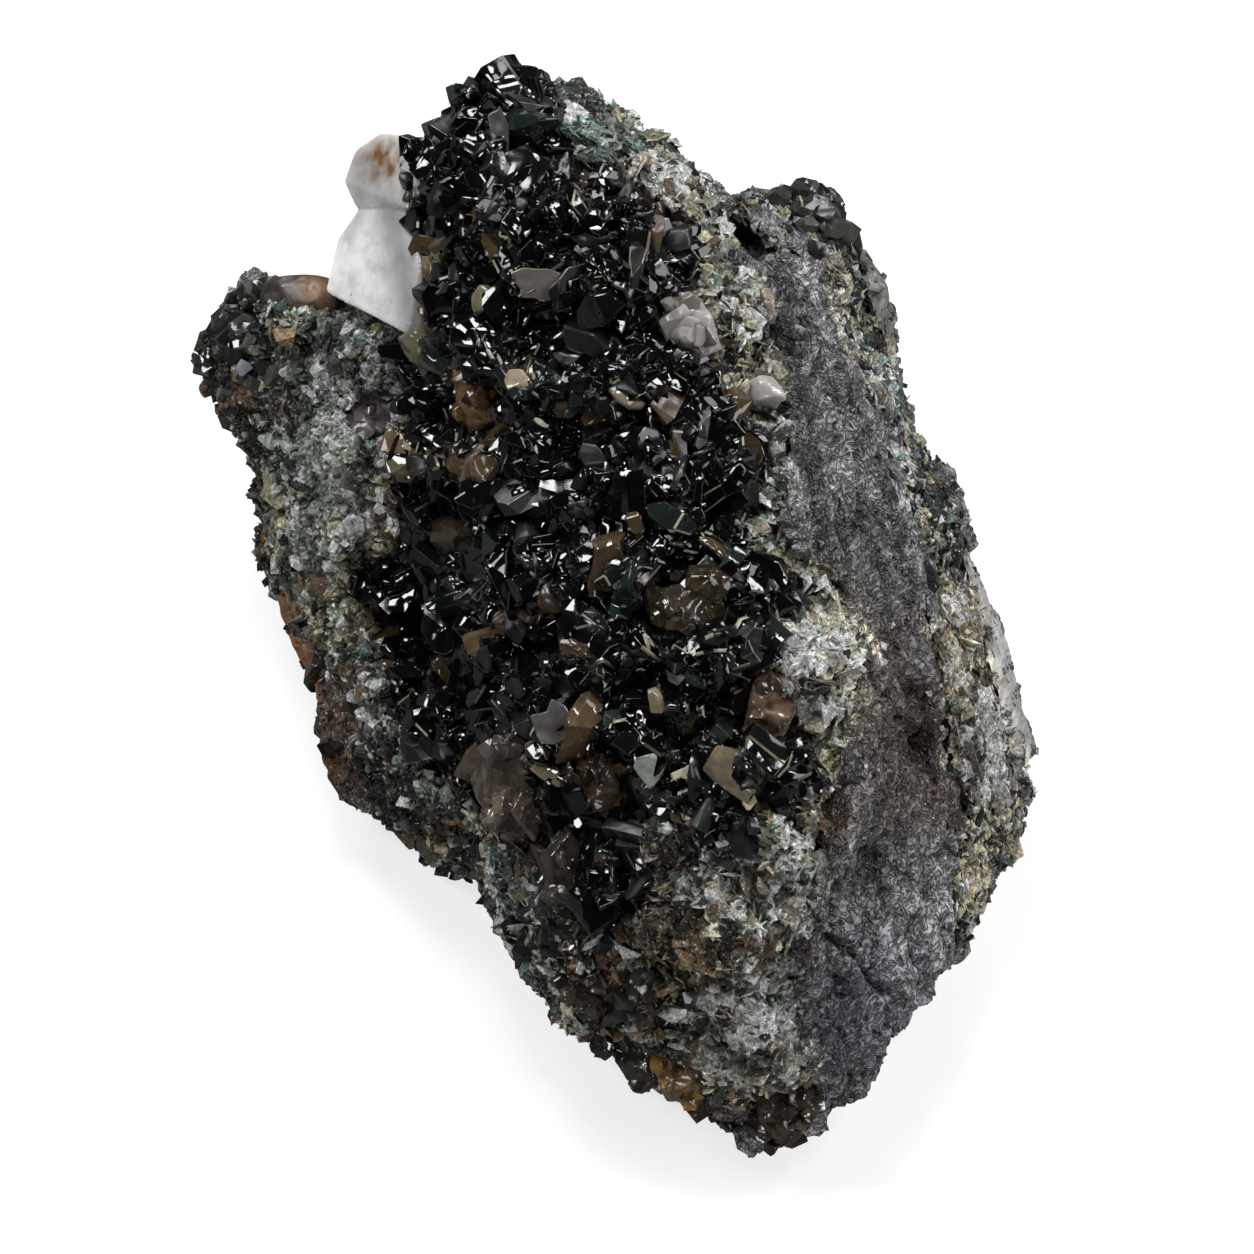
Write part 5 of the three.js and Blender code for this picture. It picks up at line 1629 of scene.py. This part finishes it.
print(len(siderite_spots), "places have brown and", len(coarse_spots), "have coarse dark crystals")

# %% Helpers: blunt crystals at given places
CRYSTAL_SINK = 0.3


def in_front(spots, facing):
    """The side that is seen, and a little of the rest."""
    return np.clip(facing @ viewer_axis + 0.4, 0.05, 1)


def at_spots(places):
    """A weight that keeps crystals close to some pixels, on the side that faces out."""
    return facing_out(
        lambda plane: sum(value * near_pixel(plane, x, y, reach) for x, y, reach, value in places)
    )


def crystals_at(name, slot, mesh, shapes, weight, count, size_mm, tones, rims, rough, seed):
    """A mesh of blunt crystals on a surface, with paler edges."""
    random = np.random.default_rng(seed)
    spots, facing, _ = surface_points(mesh, count, random, weight)
    frames = turned(facing, np.abs(random.normal(0.5, 0.4, count)), random)
    height = size_mm * np.exp(np.clip(random.normal(0, 0.35, count), -0.7, 0.35))
    sizes = np.column_stack([height, height * random.uniform(0.7, 1.1, count), height])
    spots -= facing * (CRYSTAL_SINK * height)[:, None]
    body = np.array(tones)[random.integers(len(tones), size=count)]
    body *= np.exp(random.normal(0, 0.25, count))[:, None]
    rim = body * random.uniform(*rims, count)[:, None]
    body, rim = (with_roughness(t, *rough, random) for t in (body, rim))
    finish_piece(joined_crystals(name, shapes, spots, frames, sizes, body, rim, random), slot)


# %% Siderite: small crystals
CLUSTER_CRYSTALS = 16
CLUSTER_SHARE = 0.34
brown_tones = [colour(40, 34, 28), colour(50, 42, 34), colour(32, 29, 26), colour(62, 52, 40)]
dark_tones = [colour(30, 34, 32), colour(44, 48, 44), colour(60, 60, 56), colour(24, 24, 24)]
BROWN_RIMS = (1.3, 2.2)
BROWN_GLOSS = (0.06, 0.22)
siderite_beds = [
    ("druse", bed.data, 300, 1.0),
    ("crest", crusts["crest_crust"].data, 190, 0.9),
    ("left", crusts["left_crust"].data, 40, 1.1),
    ("stone", stone.data, 170, 1.3),
]
BROWN = (brown_tones, BROWN_RIMS, BROWN_GLOSS)
brown_places = at_spots(siderite_spots)
for order, (name, mesh, count, size_mm) in enumerate(siderite_beds):
    name = "siderite_crystals_" + name
    crystals_at(name, "siderite", mesh, pebbles, brown_places, count, size_mm, *BROWN, 120 + order)
for order, (node, crystal) in enumerate(siderite_bodies.items()):
    if node == "siderite_wedge":
        continue
    name = node + "_cluster"
    tones = [[c * share for c in siderite_tones[node]] for share in (0.6, 0.9, 1.2)]
    mesh = crystal.data
    size_mm = CLUSTER_SHARE * np.sort(np.ptp(points_of(mesh), axis=0))[1]
    look = (tones, BROWN_RIMS, BROWN_GLOSS)
    crystals_at(name, "siderite", mesh, lumps, in_front, CLUSTER_CRYSTALS, size_mm, *look, 140 + order)
DARK = (dark_tones, (1.5, 3.0), (0.06, 0.3))
for order, node in enumerate(crusts):
    mesh = crusts[node].data
    places = at_spots(coarse_spots)
    name = "coarse_crystals_" + node
    crystals_at(name, "kulanite", mesh, pebbles, places, 110, 1.5, *DARK, 130 + order)

# %% [markdown]
# ## The column, the leaves and the foot of the wedge
# A narrow column of blocky brown crystals climbs between the white quartz and the druse. On the
# crest the crust has larger pale leaves, in clusters like frost, and at the left the green crust
# climbs the foot of the brown wedge. All three are made with the helpers above, each with its own
# place, size and colours.

# %% Siderite: the blocky crystals beside the quartz
column_tones = [colour(84, 66, 46), colour(104, 88, 62), colour(60, 48, 36), colour(132, 120, 92)]
beside_the_quartz = facing_out(lambda plane: near_line(plane, column_line, 16))
COLUMN = (column_tones, (1.2, 1.8), (0.08, 0.3))
column_shapes = blocks + lumps
crystals_at(
    "siderite_column", "siderite", bed.data, column_shapes, beside_the_quartz, 150, 1.15, *COLUMN, 170
)

# %% Crusts: larger leaves
leaf_spots = [
    (800, 660, 44, 3), (760, 700, 24, 1.5), (680, 770, 26, 3), (752, 802, 18, 2),
    (600, 110, 50, 1.5), (650, 150, 40, 1.5), (700, 320, 30, 0.8), (750, 1045, 40, 0.6),
    (525, 860, 36, 1),
]
leaf_mix = {"pale": 2, "cream": 2, "sage": 1, "teal": 0.5}
leaf_bed = crusts["crest_crust"].data
leaf_places = at_spots(leaf_spots)
grains_on("crest_leaves", leaf_bed, shells, 600, leaf_mix, 0.95, 0.45, 59, leaf_places)

# %% Siderite: the crust that climbs the wedge
wedge_foot_line = [(235, 300), (262, 303), (300, 308), (340, 312), (345, 390), (235, 390)]


def wedge_foot(spots, facing):
    """The lower part of the wedge, which the green crust covers."""
    covered = inside(in_plane(spots), wedge_foot_line)
    return np.where(covered & (facing @ viewer_axis > -0.2), 1.0, 1e-6)


foot_mix = {"sage": 2, "teal": 1, "olive": 1, "brown": 1, "bottle": 1}
wedge_mesh = siderite_bodies["siderite_wedge"].data
grains_on(
    "wedge_foot_grains", wedge_mesh, small_shapes, 900, foot_mix, 0.5, 0.6, 58, wedge_foot
)

# %% [markdown]
# ## Quartz
# The big crystal on the left is milky quartz, chalk white on its left and clearer towards the
# druse, with a small greyer knob on top that has brown stains. Two small quartz crystals sit on
# the crest, and the larger of them is a cluster of points. The solids are remeshed like the
# siderite. Clear glass would be the other way, but this quartz is almost opaque.

# %% Quartz
QUARTZ_VOXEL_MM = 0.15
quartz_colours = colours(grey=(158, 158, 158), brown=(128, 92, 52))
grey_side_line = [(392, 210), (402, 260), (414, 330)]
quartz_tones = colours(
    quartz_crystals=(243, 243, 242), quartz_on_crest=(160, 156, 152), quartz_grain=(170, 165, 160),
)
for order, (node, tone) in enumerate(quartz_tones.items()):
    crystal = remeshed(node, node + "_worn", QUARTZ_VOXEL_MM, CRYSTAL_SMOOTHING)
    spots = points_of(crystal.data)
    facing = normals_of(crystal.data)
    push = 0.08 + 0.06 * clouds(spots, 2.2, 2, 100 + order) + 0.01 * clouds(spots, 0.6, 2, 104)
    spots += facing * push[:, None]
    set_points(crystal.data, spots)
    plane = in_plane(spots)
    tint = np.tile(np.array(tone), (len(spots), 1))
    mix(tint, quartz_colours, "grey", 0.95 * near_line(plane, grey_side_line, 20))
    mix(tint, quartz_colours, "grey", 0.5 * clouds(spots, 1.6, 3, 105))
    mix(tint, quartz_colours, "grey", np.exp(-((clouds(spots, 3.0, 3, 107) / 0.03) ** 2)) * 0.2)
    mix(tint, quartz_colours, "grey", 0.95 * near_pixel(plane, 368, 170, 38))
    stain = near_pixel(plane, 384, 162, 22) * (0.9 + 0.9 * clouds(spots, 0.8, 2, 108))
    mix(tint, quartz_colours, "brown", stain)
    rough = np.clip(0.2 + 0.15 * clouds(spots, 1.2, 2, 106), 0.08, 0.45)
    set_tint(crystal.data, np.column_stack([np.clip(tint, 0, 0.9), rough]))
    finish_piece(crystal, "quartz", node)
point_tones = [colour(120, 117, 113), colour(146, 142, 138), colour(100, 96, 90)]
POINTS = (point_tones, (0.9, 1.2), (0.05, 0.2))
points_bed = bpy.data.objects["quartz_on_crest_worn"].data
crystals_at(
    "quartz_on_crest_points", "quartz", points_bed, lumps, in_front, 14, 1.5, *POINTS, 160
)
